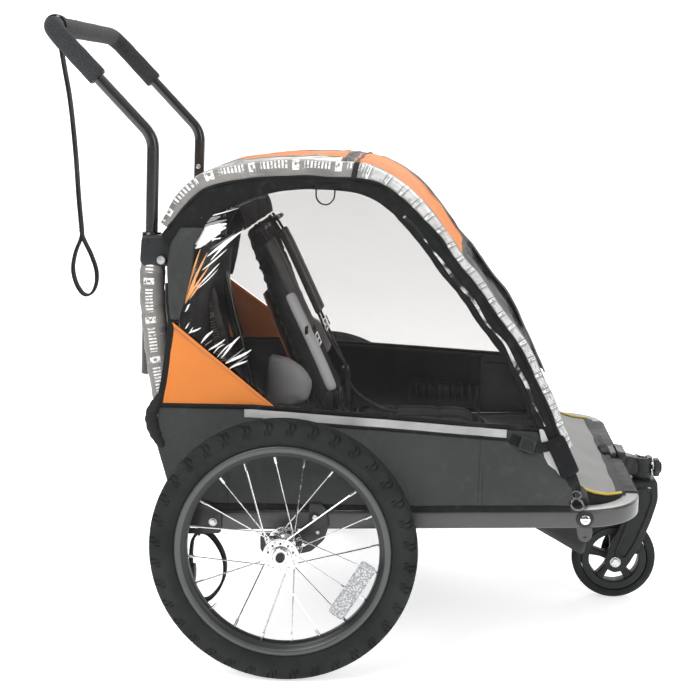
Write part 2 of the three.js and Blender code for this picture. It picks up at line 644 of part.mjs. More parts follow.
// Cross-section at point i of the line, right to left; wall is the depth below the outer face.
function canopySection(line, i, wall) {
  const point = line[i];
  const along = unit(line[Math.max(0, i - 1)], line[Math.min(line.length - 1, i + 1)]);
  const outward = vec(-along.z, 0, along.x);
  const rearLimit = CANOPY_REAR_X + (CANOPY_WALL - wall) * 0.5;
  const [lower, shoulder, middle] = roofHeights(point.x, point.z);
  // Distance outside the hoop's plane, height over the hoop, and the shares of the wall
  // taken off each.
  const edge = [
    [15.6, lower - 3, 1, 0],
    [14.4, (lower + shoulder) / 2 - 1, 1, 0.15],
    [8, shoulder - 6, 0.72, 0.72],
    [-6, shoulder - 1.5, 0.15, 1],
  ];
  const place = (sign, out, lift) => {
    const z = point.z + outward.z * lift;
    return vec(Math.max(point.x + outward.x * lift, rearLimit), sign * (leanY(z) + out), z);
  };
  const edgePoints = (sign) => edge.map(([out, lift, outShare, liftShare]) =>
    place(sign, out - wall * outShare, lift - wall * liftShare));
  const top = [-0.55, -0.2, 0.2, 0.55].map((across) => {
    const crown = 1 - Math.pow(Math.abs(across), 1.6);
    const { x, z } = place(1, 0, shoulder + (middle - shoulder) * crown - wall);
    return vec(x, across * (leanY(point.z) - 6), z);
  });
  return [...edgePoints(-1), ...top, ...edgePoints(1).reverse()];
}

{
  const line = smooth(HOOP.slice(2, 21).reverse().map(([x, z]) => vec(x, 0, z)), 24);
  const face = (wall) => line.map((_, i) => canopySection(line, i, wall));
  add('canopy', sheet(face(0), face(CANOPY_WALL)), MATERIALS.greyFabric);
}

// ---------------------------------------------------------------- side fabric
// Outlines, [x, z].
const SIDE_PANEL = [
  [-150, 258], [-80, 258], [200, 262], [424, 266], [430, 300], [404, 338],
  [378, 366], [200, 378], [-54, 394], [-198, 394], [-203, 347], [-182, 282],
];
const SIDE_WINDOW = [
  [-16, 396], [200, 381.5], [375, 370.5], [370, 392], [340, 447], [310, 491], [256, 563],
  [203, 629], [160, 673], [128, 694], [98, 706], [50, 711], [11, 711], [-30, 706],
  [-66, 697], [-92, 689], [-116, 674], [-136, 650], [-150, 628], [-160, 600],
  [-176, 545], [-176, 522],
];
const QUARTER_PANEL = [[-22, 395.2], [-194, 395.2], [-186, 450], [-181, 520]];

// Flat panel in a plane that leans with the hoop and lies outside it.
function leanPanel(outline, sign, thickness) {
  const OFFSET = 14.8;           // panel mid-plane from the hoop's centre plane, along Y
  const panel = extrude(outline, thickness);
  const points = panel.attributes.position;
  for (let i = 0; i < points.count; i++) {
    const z = points.getY(i);
    const out = OFFSET + points.getZ(i) - thickness / 2;
    points.setXYZ(i, points.getX(i), sign * (leanY(z) + out), z);
  }
  return solid(panel);
}

for (const [side, sign] of SIDES) {
  // Lower panel from the rail up to the sill, window above it, rear quarter behind that.
  add(`side_panel_${side}`, leanPanel(SIDE_PANEL, sign, 2.6), MATERIALS.darkFabric);
  add(`side_window_${side}`, leanPanel(SIDE_WINDOW, sign, 2), MATERIALS.clear);
  add(`quarter_panel_${side}`, leanPanel(QUARTER_PANEL, sign, 2.4), MATERIALS.orangeFabric);
}

// ---------------------------------------------------------------- covers, floor and seat
// Outlines, [x, z], each extruded across the trailer.
// The front cover slopes from the hoops down to the nose tube.
const FRONT_COVER = [
  [404, 314], [440, 297], [500, 270], [514, 263],
  [511, 260.4], [498.8, 267.3], [438.8, 294.3], [402.8, 311.3],
];
// The back cover hangs between the uprights.
const REAR_COVER = [
  [-192, 596], [-189, 596], [-205, 430], [-203, 350],
  [-176, 262], [-179, 260], [-206, 349], [-208, 430],
];
// The floor has a sunken footwell.
const FLOOR = [
  [-112, 246], [300, 246], [340, 166], [400, 146], [438, 134], [452, 142], [462, 214],
  [504, 219], [504, 222], [460, 217], [450, 145], [438, 137], [401, 149], [342.5, 169],
  [302.5, 249], [-112, 249],
];
const SEAT_BACK = [[66, 296], [-83.5, 667], [-94.5, 662], [54, 292]];
const SEAT_CUSHION = [[74, 270], [300, 278], [306, 284], [300, 296], [74, 292]];
const HARNESS = [[34, 400], [-72, 662], [-79, 659], [26, 397]];

add('front_cover', plateY(FRONT_COVER, [-262, 262]), MATERIALS.greyFabric);
add('rear_cover', plateY(REAR_COVER, [-186, 186]), MATERIALS.blackFabric);
add('floor_panel', plateY(FLOOR, [-270, 270]), MATERIALS.blackFabric);
add('seat_back', plateY(SEAT_BACK, [-196, 196]), MATERIALS.blackFabric);
add('seat_cushion', plateY(SEAT_CUSHION, [-198, 198]), MATERIALS.blackFabric);
for (const [side, sign] of SIDES) {
  add(`harness_${side}`, plateY(HARNESS, [66, 122], sign), MATERIALS.greyFabric);
}

// Wheel-lock strap: a loop of webbing hanging below the right rail's rear end.
{
  const LOOP = [
    [-150, 203], [-128, 203], [-108, 186], [-97, 160], [-97, 132],
    [-108, 104], [-128, 86], [-144, 88], [-152, 110], [-156, 150],
  ];
  const opening = shrink(LOOP, [-126, 144], 7);
  add('wheel_lock_strap', plateY(LOOP, [-316, -296], 1, [opening]), MATERIALS.webbing);
}

// ---------------------------------------------------------------- origin
root.updateMatrixWorld(true);
const bounds = new THREE.Box3().setFromObject(root, true);
root.position.x = -(bounds.min.x + bounds.max.x) / 2;
const trailer = new THREE.Group();
trailer.add(root);
trailer.updateMatrixWorld(true);

export default trailer;
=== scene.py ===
"""A two-seat child trailer used as a stroller: frame, folding roll cage and canopy, two spoked
wheels, a front caster and a push handle.

It stands on z = 0 and faces +X; its right side is at -Y and its left side at +Y. Outlines are in
millimetres, x measured from the axle line, and pos() turns them into scene metres. Where a piece
comes in a right and a left version, sign is -1 for the right and +1 for the left.
"""
import json
import random
from math import atan2, copysign, cos, exp, hypot, pi, radians, sin, tan

import bmesh
import bpy
import numpy as np
from mathutils import Matrix, Vector, noise

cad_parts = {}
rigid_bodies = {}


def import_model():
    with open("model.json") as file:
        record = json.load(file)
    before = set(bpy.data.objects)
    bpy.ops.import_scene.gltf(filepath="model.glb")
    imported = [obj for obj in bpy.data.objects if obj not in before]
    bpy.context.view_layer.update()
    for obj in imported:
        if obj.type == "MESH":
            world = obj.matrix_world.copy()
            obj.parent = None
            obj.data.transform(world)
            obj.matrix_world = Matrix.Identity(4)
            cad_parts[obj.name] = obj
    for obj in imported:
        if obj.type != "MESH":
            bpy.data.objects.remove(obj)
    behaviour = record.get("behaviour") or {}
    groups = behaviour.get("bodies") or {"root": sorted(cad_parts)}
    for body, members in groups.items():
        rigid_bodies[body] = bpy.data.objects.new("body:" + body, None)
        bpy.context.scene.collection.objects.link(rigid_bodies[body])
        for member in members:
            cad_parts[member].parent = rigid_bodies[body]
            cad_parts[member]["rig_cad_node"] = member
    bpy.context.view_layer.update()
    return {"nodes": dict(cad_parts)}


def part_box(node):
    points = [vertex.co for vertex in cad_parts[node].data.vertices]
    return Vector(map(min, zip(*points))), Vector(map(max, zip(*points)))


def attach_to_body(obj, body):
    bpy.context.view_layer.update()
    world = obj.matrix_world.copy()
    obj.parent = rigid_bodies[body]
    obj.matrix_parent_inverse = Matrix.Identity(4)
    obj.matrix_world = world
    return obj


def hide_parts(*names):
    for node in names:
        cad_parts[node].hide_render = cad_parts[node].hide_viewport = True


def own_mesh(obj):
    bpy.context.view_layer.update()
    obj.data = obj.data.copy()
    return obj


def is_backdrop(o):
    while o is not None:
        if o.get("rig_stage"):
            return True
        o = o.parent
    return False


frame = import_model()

random.seed(7)

# ---------------------------------------------------------------- frame of reference
tyre_low, tyre_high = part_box("tyre_right")
AXLE_X = (tyre_low.x + tyre_high.x) / 2                 # metres, the scene x of the axle line
AXLE_Z = (tyre_low.z + tyre_high.z) / 2 * 1000
TYRE_Y = abs((tyre_low.y + tyre_high.y) / 2) * 1000
SIDES = (("right", -1), ("left", 1))
UP = Vector((0, 0, 1))
Y_AXIS = Vector((0, 1, 0))

WHEEL_R = 200                        # tyre radius, and so the nominal axle height
RAIL_Y = 318                         # the side rails' centre lines
RAIL_START_X = -147
NOSE_X = 525                         # the cross tube that joins the rails in front
FRONT_PIVOT = (448, 240)             # x, z of the roll cage's hinge
REAR_PIVOT = (-112, 226)
CASTER = (535.3, 71.8)               # x, z of the caster's axle
SWIVEL_X = 579
HANDLE_Y = 210
HANDLE_BEND = (-214.8, 800)          # x, z where the handle's legs bend back
GRIP = (-370.5, 968.8)               # x, z of the handle's cross bar
LEAN = .2245                         # the sides lean inwards by this much per unit of height


def pos(x, y, z):
    """a point in mm from the axle line -> scene metres"""
    return Vector((x / 1000 + AXLE_X, y / 1000, z / 1000))


def to_mm(point):
    return (point[0] - AXLE_X) * 1000, point[1] * 1000, point[2] * 1000


def rail_z(x):
    return 228.3 + 0.0251 * x


def lean_y(z):
    """distance of the leaning side planes from the middle, at height z"""
    return 320 - (z - 240) * LEAN


def lean(x, z, sign, offset=0.0):
    """a point in a leaning side plane, moved outwards by offset"""
    return pos(x, sign * (lean_y(z) + offset), z)


def handle_x(z):
    return HANDLE_BEND[0] - (HANDLE_BEND[1] - z) * 0.0445


def ease(start, end, value):
    """smooth step from 0 at start to 1 at end"""
    t = min(1.0, max(0.0, (value - start) / (end - start)))
    return t * t * (3 - 2 * t)


def steps(start, end, count):
    return [start + (end - start) * i / (count - 1) for i in range(count)]


def turn(count):
    """angles evenly spaced round a full turn"""
    return [2 * pi * i / count for i in range(count)]


def interp(table, x):
    """second column of a two-column table, at x in the first"""
    return float(np.interp(x, [row[0] for row in table], [row[1] for row in table]))


def wrinkle(x, y, z, frequency, amount, seed):
    """smooth noise in mm, between -amount and amount"""
    place = (x * frequency + seed, y * frequency - seed * .7, z * frequency + seed * .3)
    return noise.noise(Vector(place)) * amount


# side hoop of the roll cage, x and z, from the front foot over the roof to the rear end
HOOP = [
    (428, 293), (403, 341), (383, 388), (356, 444), (333, 487), (306, 520), (267, 574), (242, 601),
    (214, 639), (186.7, 669.7), (160.1, 695.4), (130.6, 715.9), (100.5, 726.4), (50, 732),
    (11, 732), (-31.8, 726.9), (-68.2, 717.8), (-94.9, 709.6), (-122.2, 699.1), (-144.4, 679.2),
    (-162, 656), (-174, 636), (-181, 618), (-184, 606)]
# at each hoop point, distance outside the hoop's centre line of the window edge, the band's
# lower edge, the band's upper edge and the middle of the roof
HOOP_TRIM = [
    (-15, 12, 26, 14), (-15, 12, 26, 15), (-15, 13, 26, 15), (-15, 13, 26, 16), (-15, 13, 27, 17),
    (-15, 14, 27, 18), (-15, 14, 28, 18), (-14, 15, 29, 20), (-14, 16, 30, 22), (-13, 14, 33, 27),
    (-12, 14, 35, 33), (-11.5, 13, 34, 37), (-11.5, 8, 34.5, 38), (-11, 5, 34, 38),
    (-11, 6, 35, 39), (-12, 10, 39, 43), (-14, 16, 45, 48), (-17, 20, 48, 51), (-20, 23, 50, 50),
    (-22, 23, 48, 46), (-28, 24, 43, 40), (-36, 28, 40, 38), (-36, 28, 36, 34), (-30, 22, 30, 30)]
HOOP_RUN = [0.0]                     # length along the hoop at each of its points
for here, ahead in zip(HOOP, HOOP[1:]):
    HOOP_RUN.append(HOOP_RUN[-1] + hypot(here[0] - ahead[0], here[1] - ahead[1]))


def hoop_trim(t):
    """the four trim distances at fraction t of the hoop's length"""
    run = t * HOOP_RUN[-1]
    return [float(np.interp(run, HOOP_RUN, column)) for column in zip(*HOOP_TRIM)]


# ---------------------------------------------------------------- paths
def resample(points, count):
    """count points evenly spaced along a polyline of any dimension"""
    table = np.array([list(p) for p in points], float)
    gaps = np.linalg.norm(np.diff(table, axis=0), axis=1)
    run = np.concatenate([[0], np.cumsum(gaps)])
    return [Vector([np.interp(length, run, column) for column in table.T])
            for length in np.linspace(0, run[-1], count)]


def between(t, start, end, first, second):
    return (end - t) / (end - start) * first + (t - start) / (end - start) * second


def catmull(points, count):
    """centripetal Catmull-Rom curve through the points, evenly resampled"""
    knots = [np.array(list(p), float) for p in points]
    knots = [2 * knots[0] - knots[1], *knots, 2 * knots[-1] - knots[-2]]
    curve = []
    for i in range(1, len(knots) - 2):
        near = knots[i - 1:i + 3]
        times = [0.0]
        for here, ahead in zip(near, near[1:]):
            times.append(times[-1] + max(1e-6, np.linalg.norm(ahead - here)) ** .5)
        for k in range(10):
            t = times[1] + (times[2] - times[1]) * k / 10
            lines = [between(t, *times[j:j + 2], *near[j:j + 2]) for j in range(3)]
            arcs = [between(t, times[j], times[j + 2], *lines[j:j + 2]) for j in range(2)]
            curve.append(between(t, times[1], times[2], *arcs))
    curve.append(knots[-2])
    return resample(curve, count)


def fillet(points, radii, segments=12):
    """polyline with each inner corner rounded; radii in metres"""
    path = [points[0].copy()]
    for before, corner, after, radius in zip(points, points[1:], points[2:], radii):
        back = (before - corner).normalized()
        ahead = (after - corner).normalized()
        half = back.angle(ahead) / 2
        reach = radius / tan(half)
        centre = corner + (back + ahead).normalized() * (radius / sin(half))
        first = corner + back * reach - centre
        last = corner + ahead * reach - centre
        angle = first.angle(last)
        for k in range(segments + 1):
            t = k / segments
            arm = first * sin((1 - t) * angle) + last * sin(t * angle)
            path.append(centre + arm / sin(angle))
    path.append(points[-1].copy())
    return path


def hoop_path(sign, count=120):
    return catmull([lean(x, z, sign) for x, z in HOOP], count)


# ---------------------------------------------------------------- material node helpers
class Material:
    """a Principled material with shorthands for its nodes; lengths in metres"""

    def __init__(self, name, base, rough, metal=0.0, spec=.5, coat=0.0, sheen=0.0):
        self.material = bpy.data.materials.new(name)
        self.material.use_nodes = True
        self.material.diffuse_color = (*base, 1)
        self.tree = self.material.node_tree
        self.shader = self.tree.nodes["Principled BSDF"]
        self.base = base
        self.normal = None
        self.place = self.node("ShaderNodeTexCoord")
        self.set(self.shader, {
            "Base Color": (*base, 1), "Roughness": rough, "Metallic": metal,
            "Specular IOR Level": spec, "Coat Weight": coat, "Sheen Weight": sheen})

    def node(self, kind, **settings):
        node = self.tree.nodes.new(kind)
        for key, value in settings.items():
            setattr(node, key, value)
        return node

    def set(self, node, values):
        """fills input sockets with numbers, tuples or links"""
        for key, value in values.items():
            if isinstance(value, (int, float, tuple)):
                node.inputs[key].default_value = value
            else:
                self.tree.links.new(value, node.inputs[key])
        return node

    def mapped(self, scale=(1, 1, 1), uv=False):
        source = self.place.outputs["UV" if uv else "Object"]
        mapping = self.node("ShaderNodeMapping")
        return self.set(mapping, {"Scale": scale, "Vector": source}).outputs["Vector"]

    def axes(self, vector):
        return self.set(self.node("ShaderNodeSeparateXYZ"), {0: vector}).outputs

    def noise(self, scale, detail=3, rough=.5, vec=None, distort=0):
        return self.set(self.node("ShaderNodeTexNoise"), {
            "Scale": scale, "Detail": detail, "Roughness": rough, "Distortion": distort,
            "Vector": vec or self.place.outputs["Object"]}).outputs["Fac"]

    def voronoi(self, scale):
        return self.set(self.node("ShaderNodeTexVoronoi"), {
            "Scale": scale, "Vector": self.place.outputs["Object"]}).outputs["Distance"]

    def calc(self, operation, first, second=None, clamp=False):
        node = self.node("ShaderNodeMath", operation=operation, use_clamp=clamp)
        inputs = {0: first} if second is None else {0: first, 1: second}
        return self.set(node, inputs).outputs[0]

    def times(self, first, second):
        return self.calc("MULTIPLY", first, second)

    def ripple(self, value, pitch):
        return self.calc("SINE", self.times(value, 2 * pi / pitch))

    def remap(self, value, source, target=(0.0, 1.0)):
        return self.set(self.node("ShaderNodeMapRange", clamp=True), {
            "From Min": source[0], "From Max": source[1], "To Min": target[0],
            "To Max": target[1], "Value": value}).outputs["Result"]

    def patches(self, scale, source=(.3, .7), target=(0.0, 1.0), **noise_settings):
        """noise, with the source range stretched over the target range"""
        return self.remap(self.noise(scale, **noise_settings), source, target)

    def mix(self, factor, first, second):
        """colour mix; sockets 6 and 7 of the Mix node are its two colours"""
        first, second = [(*c, 1) if isinstance(c, tuple) else c for c in (first, second)]
        node = self.node("ShaderNodeMix", data_type="RGBA")
        return self.set(node, {0: factor, 6: first, 7: second}).outputs[2]

    def scaled(self, factor):
        return tuple(min(1, channel * factor) for channel in self.base)

    def shades(self, factor, low, high):
        """base colour between two brightnesses"""
        return self.mix(factor, self.scaled(low), self.scaled(high))

    def color(self, value):
        self.set(self.shader, {"Base Color": value})

    def roughness(self, low, high, scale, detail):
        self.set(self.shader, {
            "Roughness": self.patches(scale, target=(low, high), detail=detail)})

    def bump(self, height, distance, strength):
        node = self.set(self.node("ShaderNodeBump"), {
            "Distance": distance, "Strength": strength, "Height": height})
        if self.normal:
            self.set(node, {"Normal": self.normal})
        self.normal = node.outputs["Normal"]
        self.set(self.shader, {"Normal": self.normal})

    def weave(self, pitch, uv=True):
        """over-under threads: two sines across each other"""
        across, along, height = self.axes(self.mapped(uv=uv))
        if not uv:
            across, along = (self.calc("ADD", across, self.times(along, .7)),
                             self.calc("ADD", height, self.times(along, .45)))
        return self.times(self.ripple(across, pitch), self.ripple(along, pitch))

    def edge(self, low=.505, high=.56):
        geometry = self.node("ShaderNodeNewGeometry")
        return self.remap(geometry.outputs["Pointiness"], (low, high))


# ---------------------------------------------------------------- kinds of material
def fabric(name, base, rough, pitch, weave_depth, uv, vary, crease, crease_scale, sheen=.03,
           spec=.16, dust=.03, streaked=False):
    mat = Material(name, base, rough, spec=spec, sheen=sheen)
    threads = mat.weave(pitch, uv)
    if streaked:
        streaks = mat.patches(12, source=(.42, .62), detail=5, rough=.65,
                              vec=mat.mapped((1, 1.6, 2.6)), distort=1.3)
        color = mat.mix(streaks, (.15, .15, .145), (.62, .60, .57))
        color = mat.mix(mat.remap(mat.weave(pitch), (-1, 1), (0, .2)), color, (.2, .2, .2))
    else:
        color = mat.shades(mat.patches(5, detail=4), 1 - vary, 1 + vary)
        color = mat.mix(mat.remap(threads, (-1, 1), (0, .35)), color, mat.scaled(.62))
        dusty = mat.times(mat.patches(60, source=(.55, .8)), dust)
        color = mat.mix(dusty, color, (.55, .53, .5))
    mat.color(color)
    mat.roughness(rough - .12, min(1, rough + .1), scale=9, detail=5)
    mat.bump(threads, distance=weave_depth, strength=.5)
    mat.bump(mat.noise(crease_scale, detail=5, rough=.55, distort=.6), distance=crease,
             strength=.55)
    mat.bump(mat.noise(900, detail=2), distance=.00006, strength=.4)
    return mat


def webbing(name, base, rough=.78, pitch=.0016):
    mat = Material(name, base, rough, spec=.16, sheen=.05)
    across, along, _ = mat.axes(mat.mapped(uv=True))
    zigzag = mat.times(mat.calc("ABSOLUTE", mat.ripple(along, .006)), .0012)
    ribs = mat.ripple(mat.calc("ADD", across, zigzag), pitch)
    color = mat.shades(mat.remap(ribs, (-1, 1), (0, .6)), .6, 1.9)
    worn = mat.patches(30, source=(.5, .8), target=(0, .15))
    mat.color(mat.mix(worn, color, (.2, .2, .2)))
    mat.roughness(rough - .1, rough + .12, scale=40, detail=3)
    mat.bump(ribs, distance=.00025, strength=.7)
    mat.bump(mat.ripple(along, .003), distance=.00015, strength=.4)
    return mat


def painted(name, base, rough, metal, coat, peel, wear, wear_amount):
    mat = Material(name, base, rough, metal=metal, coat=coat)
    mat.set(mat.shader, {"Coat Roughness": .18})
    color = mat.shades(mat.patches(40, detail=4), .95, 1.05)
    scratches = mat.patches(220, source=(.62, .72), detail=4, rough=.6,
                            vec=mat.mapped((1, 1, 4)))
    worn = mat.times(mat.edge(.62, .72), mat.patches(70, source=(.55, .68), detail=4))
    color = mat.mix(mat.times(worn, wear_amount), color, wear)
    mat.color(mat.mix(mat.times(scratches, .08), color, mat.scaled(1.7)))
    mat.roughness(rough - .03, rough + .05, scale=90, detail=4)
    mat.bump(mat.noise(650, detail=2), distance=peel, strength=.5)
    mat.bump(mat.noise(30, detail=2), distance=.0002, strength=.15)
    return mat


def moulded(name, base, rough=.45, grain=520, spec=.35):
    mat = Material(name, base, rough, spec=spec)
    color = mat.shades(mat.patches(12, source=(.35, .7), detail=4), .85, 1.2)
    mat.color(mat.mix(mat.times(mat.edge(), .35), color, mat.scaled(2.6)))
    mat.roughness(rough - .1, rough + .14, scale=80, detail=4)
    mat.bump(mat.voronoi(grain), distance=.00012, strength=.5)
    mat.bump(mat.noise(90), distance=.0001, strength=.3)
    return mat


def metal(name, base, rough, metallic):
    mat = Material(name, base, rough, metal=metallic)
    mat.color(mat.shades(mat.patches(60, source=(.35, .7), detail=5), .8, 1.1))
    mat.roughness(rough - .08, rough + .16, scale=160, detail=4)
    mat.bump(mat.noise(500, vec=mat.mapped((1, 6, 1))), distance=.00005, strength=.4)
    return mat


def tyre_rubber():
    mat = Material("tyre_rubber_matt", (.026, .028, .028), rough=.8, spec=.10)
    mat.color(mat.shades(mat.patches(18, source=(.35, .7), detail=5), .8, 1.25))
    mat.roughness(.68, .95, scale=70, detail=4)
    mat.bump(mat.noise(420), distance=.00012, strength=.5)
    mat.bump(mat.noise(40), distance=.0004, strength=.25)
    return mat


def closed_cell_foam():
    mat = Material("grip_foam", (.033, .0345, .036), rough=.9, spec=.12, sheen=.04)
    mat.color(mat.shades(mat.remap(mat.voronoi(420), (.1, .6)), .7, 1.35))
    mat.bump(mat.voronoi(520), distance=.00035, strength=.8)
    mat.bump(mat.noise(60, detail=4), distance=.0006, strength=.4)
    return mat


def band_marks(mat, across, along, pitch, low, high):
    """hollow squares and groups of bars repeated along a band, as a mask"""
    def span(value, start, end):
        return mat.times(mat.calc("GREATER_THAN", value, start),
                         mat.calc("LESS_THAN", value, end))
    shifted = mat.calc("MODULO", mat.calc("ADD", along, 10), pitch)
    phase = mat.calc("DIVIDE", shifted, pitch)
    square = mat.times(span(phase, .08, .24), span(across, low, high))
    hole = mat.times(span(phase, .135, .19), span(across, low + .15, high - .15))
    square = mat.calc("SUBTRACT", square, hole, clamp=True)
    stripes = span(mat.calc("MODULO", mat.times(phase, 12), 1), .28, .82)
    field = mat.times(span(phase, .34, .96), span(across, low + .06, high - .06))
    marks = mat.calc("ADD", square, mat.times(stripes, field), clamp=True)
    return mat.times(marks, mat.patches(200, source=(.34, .50)))


def reflective(name, base, mark=(.93, .93, .92), pitch=.062, marks=True, crumple=.0018,
               tall=False):
    """coated tape; its UVs run along the band in metres and across it from 0 to 1"""
    mat = Material(name, base, rough=.42, metal=.15, spec=.6)
    along, across, _ = mat.axes(mat.mapped(uv=True))
    color = mat.shades(mat.patches(16, source=(.3, .72), detail=4), .62, 1.18)
    # pale streaks are a painted sheen, light lying on the crumpled coating
    pale = mat.patches(11, source=(.60, .70), detail=5, rough=.65,
                       vec=mat.mapped((1, 1, 3.2)), distort=1.2)
    color = mat.mix(mat.times(pale, .55 if marks else .1), color, (.62, .61, .60))
    # dark streaks are painted shade in the band's wrinkles
    dark = mat.patches(13, source=(.33, .42), target=(1, 0), detail=5, rough=.65,
                       vec=mat.mapped((1.3, 1, 2.6)), distort=1.0)
    color = mat.mix(mat.times(dark, .5 if marks else .1), color, (.07, .07, .07))
    if marks:
        low, high = (.24, .97) if tall else (.34, .78)
        color = mat.mix(band_marks(mat, across, along, pitch, low, high), color, mark)
    mat.color(color)
    mat.roughness(.3, .6, scale=30, detail=4)
    cells = mat.times(mat.ripple(along, .0016), mat.ripple(across, .0016))
    mat.bump(cells, distance=.0001, strength=.4)
    mat.bump(mat.noise(22, detail=5, rough=.6, distort=1.0), distance=crumple, strength=.7)
    return mat


def gap_sheen():
    mat = Material("window_gap_sheen", (.05, .05, .05), rough=.3)
    glints = mat.patches(34, source=(.47, .60), detail=4, rough=.6, distort=.5)
    mat.color(mat.mix(glints, (.02, .02, .02), (.62, .62, .62)))
    mat.bump(mat.noise(60), distance=.001, strength=.5)
    return mat


def clear_vinyl(name, tint, haze):
    """see-through sheet with a faint sheen and a little haze"""
    mat = Material(name, (.9, .89, .88), rough=.18)
    clear = mat.set(mat.node("ShaderNodeBsdfTransparent"), {0: (*tint, 1)})
    gloss = mat.set(mat.node("ShaderNodeBsdfGlossy"), {0: (1, 1, 1, 1), "Roughness": .09})
    milky = mat.set(mat.node("ShaderNodeBsdfDiffuse"), {0: (.93, .92, .91, 1)})
    mat.bump(mat.noise(9, detail=5, rough=.6, distort=1.4), distance=.0035, strength=.6)
    mat.bump(mat.noise(55), distance=.0005, strength=.4)
    mat.set(gloss, {"Normal": mat.normal})
    facing = mat.set(mat.node("ShaderNodeLayerWeight"), {0: .32, "Normal": mat.normal})
    sheen = mat.calc("ADD", mat.times(facing.outputs["Fresnel"], .10), .012, clamp=True)
    sheet = mat.set(mat.node("ShaderNodeMixShader"),
                    {0: sheen, 1: clear.outputs[0], 2: gloss.outputs[0]})
    hazy = mat.patches(3.5, target=(haze * .9, haze * 1.1))
    final = mat.set(mat.node("ShaderNodeMixShader"),
                    {0: hazy, 1: sheet.outputs[0], 2: milky.outputs[0]})
    mat.set(mat.tree.nodes["Material Output"], {"Surface": final.outputs[0]})
    return mat


def reflector():
    mat = Material("prismatic_reflector", (.72, .73, .74), rough=.15, metal=.1, spec=.8, coat=.6)
    prisms = mat.voronoi(330)
    mat.color(mat.mix(mat.remap(prisms, (.1, .6)), (.9, .9, .92), (.35, .36, .38)))
    mat.bump(prisms, distance=.0006, strength=.9)
    mat.set(mat.shader, {"Alpha": .82})
    return mat


def bolster_cover():
    """painted shade towards the rear, painted highlight towards the front"""
    mat = Material("bolster_shaded_pad", (.10, .10, .10), rough=.42)
    along = mat.axes(mat.place.outputs["Object"])[0]
    shade = mat.remap(along, (AXLE_X - .045, AXLE_X + .03))
    mat.color(mat.mix(shade, (.018, .018, .02), (.50, .50, .50)))
    mat.bump(mat.noise(20, detail=4), distance=.001, strength=.5)
    mat.bump(mat.weave(.0014, uv=False), distance=.0002, strength=.5)
    return mat


# ---------------------------------------------------------------- the materials
# name, colour, roughness, metallic, coat, orange-peel depth, colour of wear, amount of wear
PAINTS = {
    "frame": ("frame_grey_powder", (.064, .066, .064), .36, .3, .3, .00006, (.45, .45, .46), .35),
    "handle": ("handle_gloss_charcoal", (.022, .022, .023), .22, .1, .6, .00003, (.3, .3, .3), .2),
    "black": ("gloss_black_paint", (.012, .012, .013), .2, .0, .7, .00004, (.3, .3, .3), .3),
    "bracket": ("satin_black_bracket", (.014, .014, .015), .42, .0, .2, .00006,
                (.45, .45, .46), .35),
    "rim": ("rim_anodised_grey", (.088, .092, .09), .38, .5, .15, .00006, (.45, .45, .46), .35),
    "rim_in": ("rim_inner_black", (.02, .021, .022), .4, .2, .1, .00006, (.45, .45, .46), .35)}
# name, colour, roughness, metallic
METALS = {
    "steel": ("zinc_steel", (.62, .63, .64), .26, .95),
    "chrome": ("polished_steel", (.8, .8, .8), .12, 1),
    "gunmetal": ("dark_plated_steel", (.22, .22, .225), .22, 1)}
# name, colour, roughness, thread pitch, thread depth, threads follow the UVs, tone variation,
# crease depth, crease scale, and where they differ from the usual: sheen, specular, dust
FABRICS = {
    "dark": ("dark_grey_polyester", (.045, .0488, .0474), .62, .0012, .0002, True, .16, .0028, 9,
             .03, .3),
    "casing": ("black_grey_casing", (.013, .0135, .014), .7, .0012, .0002, True, .2, .0014, 26),
    "blackfab": ("black_polyester", (.0125, .013, .0145), .66, .0012, .0002, True, .25, .0030, 13,
                 .03, .34, .015),
    "blackpad": ("black_padded_fabric", (.011, .0115, .013), .78, .0016, .0003, False, .25,
                 .0009, 22),
    "greypad": ("grey_padded_fabric", (.13, .13, .132), .8, .0015, .0003, False, .15, .0008, 24),
    "orange": ("orange_polyester", (.74, .235, .052), .7, .0012, .00018, True, .07, .0009, 12),
    "piping": ("black_piping", (.011, .011, .012), .6, .001, .0001, True, .2, .0002, 60),
    "yellow": ("yellow_piping", (.78, .56, .10), .6, .001, .0001, True, .1, .0002, 60),
    "mesh": ("grey_mesh_cover", (.33, .328, .322), .8, .002, .0005, True, .10, .0012, 14),
    "thread": ("light_thread", (.4, .4, .4), .7, .001, .0001, False, .1, .0001, 60),
    "thread_dark": ("dark_thread", (.05, .05, .05), .7, .001, .0001, False, .1, .0001, 60),
    # the two crease colours are painted highlights on the clear vinyl
    "crease": ("vinyl_crease_highlight", (.93, .93, .93), .25, .002, .00003, False, .05, .0003,
               60, 0, .6),
    "crease_amber": ("vinyl_crease_amber", (.80, .36, .13), .3, .002, .00003, False, .1, .0003,
                     60, 0, .6),
    "satin": ("black_satin_lining", (.008, .0082, .009), .42, .0012, .0001, True, .2, .0050, 17,
              .03, .5, .01),
    "darkgrey": ("charcoal_border", (.022, .0235, .0235), .5, .0012, .0002, True, .5, .008, 15,
                 .03, .5),
    "tubepad": ("pale_grey_pad", (.50, .502, .505), .45, .0015, .0002, False, .2, .0012, 20,
                .03, .4),
    "brown": ("brown_seat_insert", (.22, .075, .04), .8, .0014, .00025, True, .15, .0008, 22)}
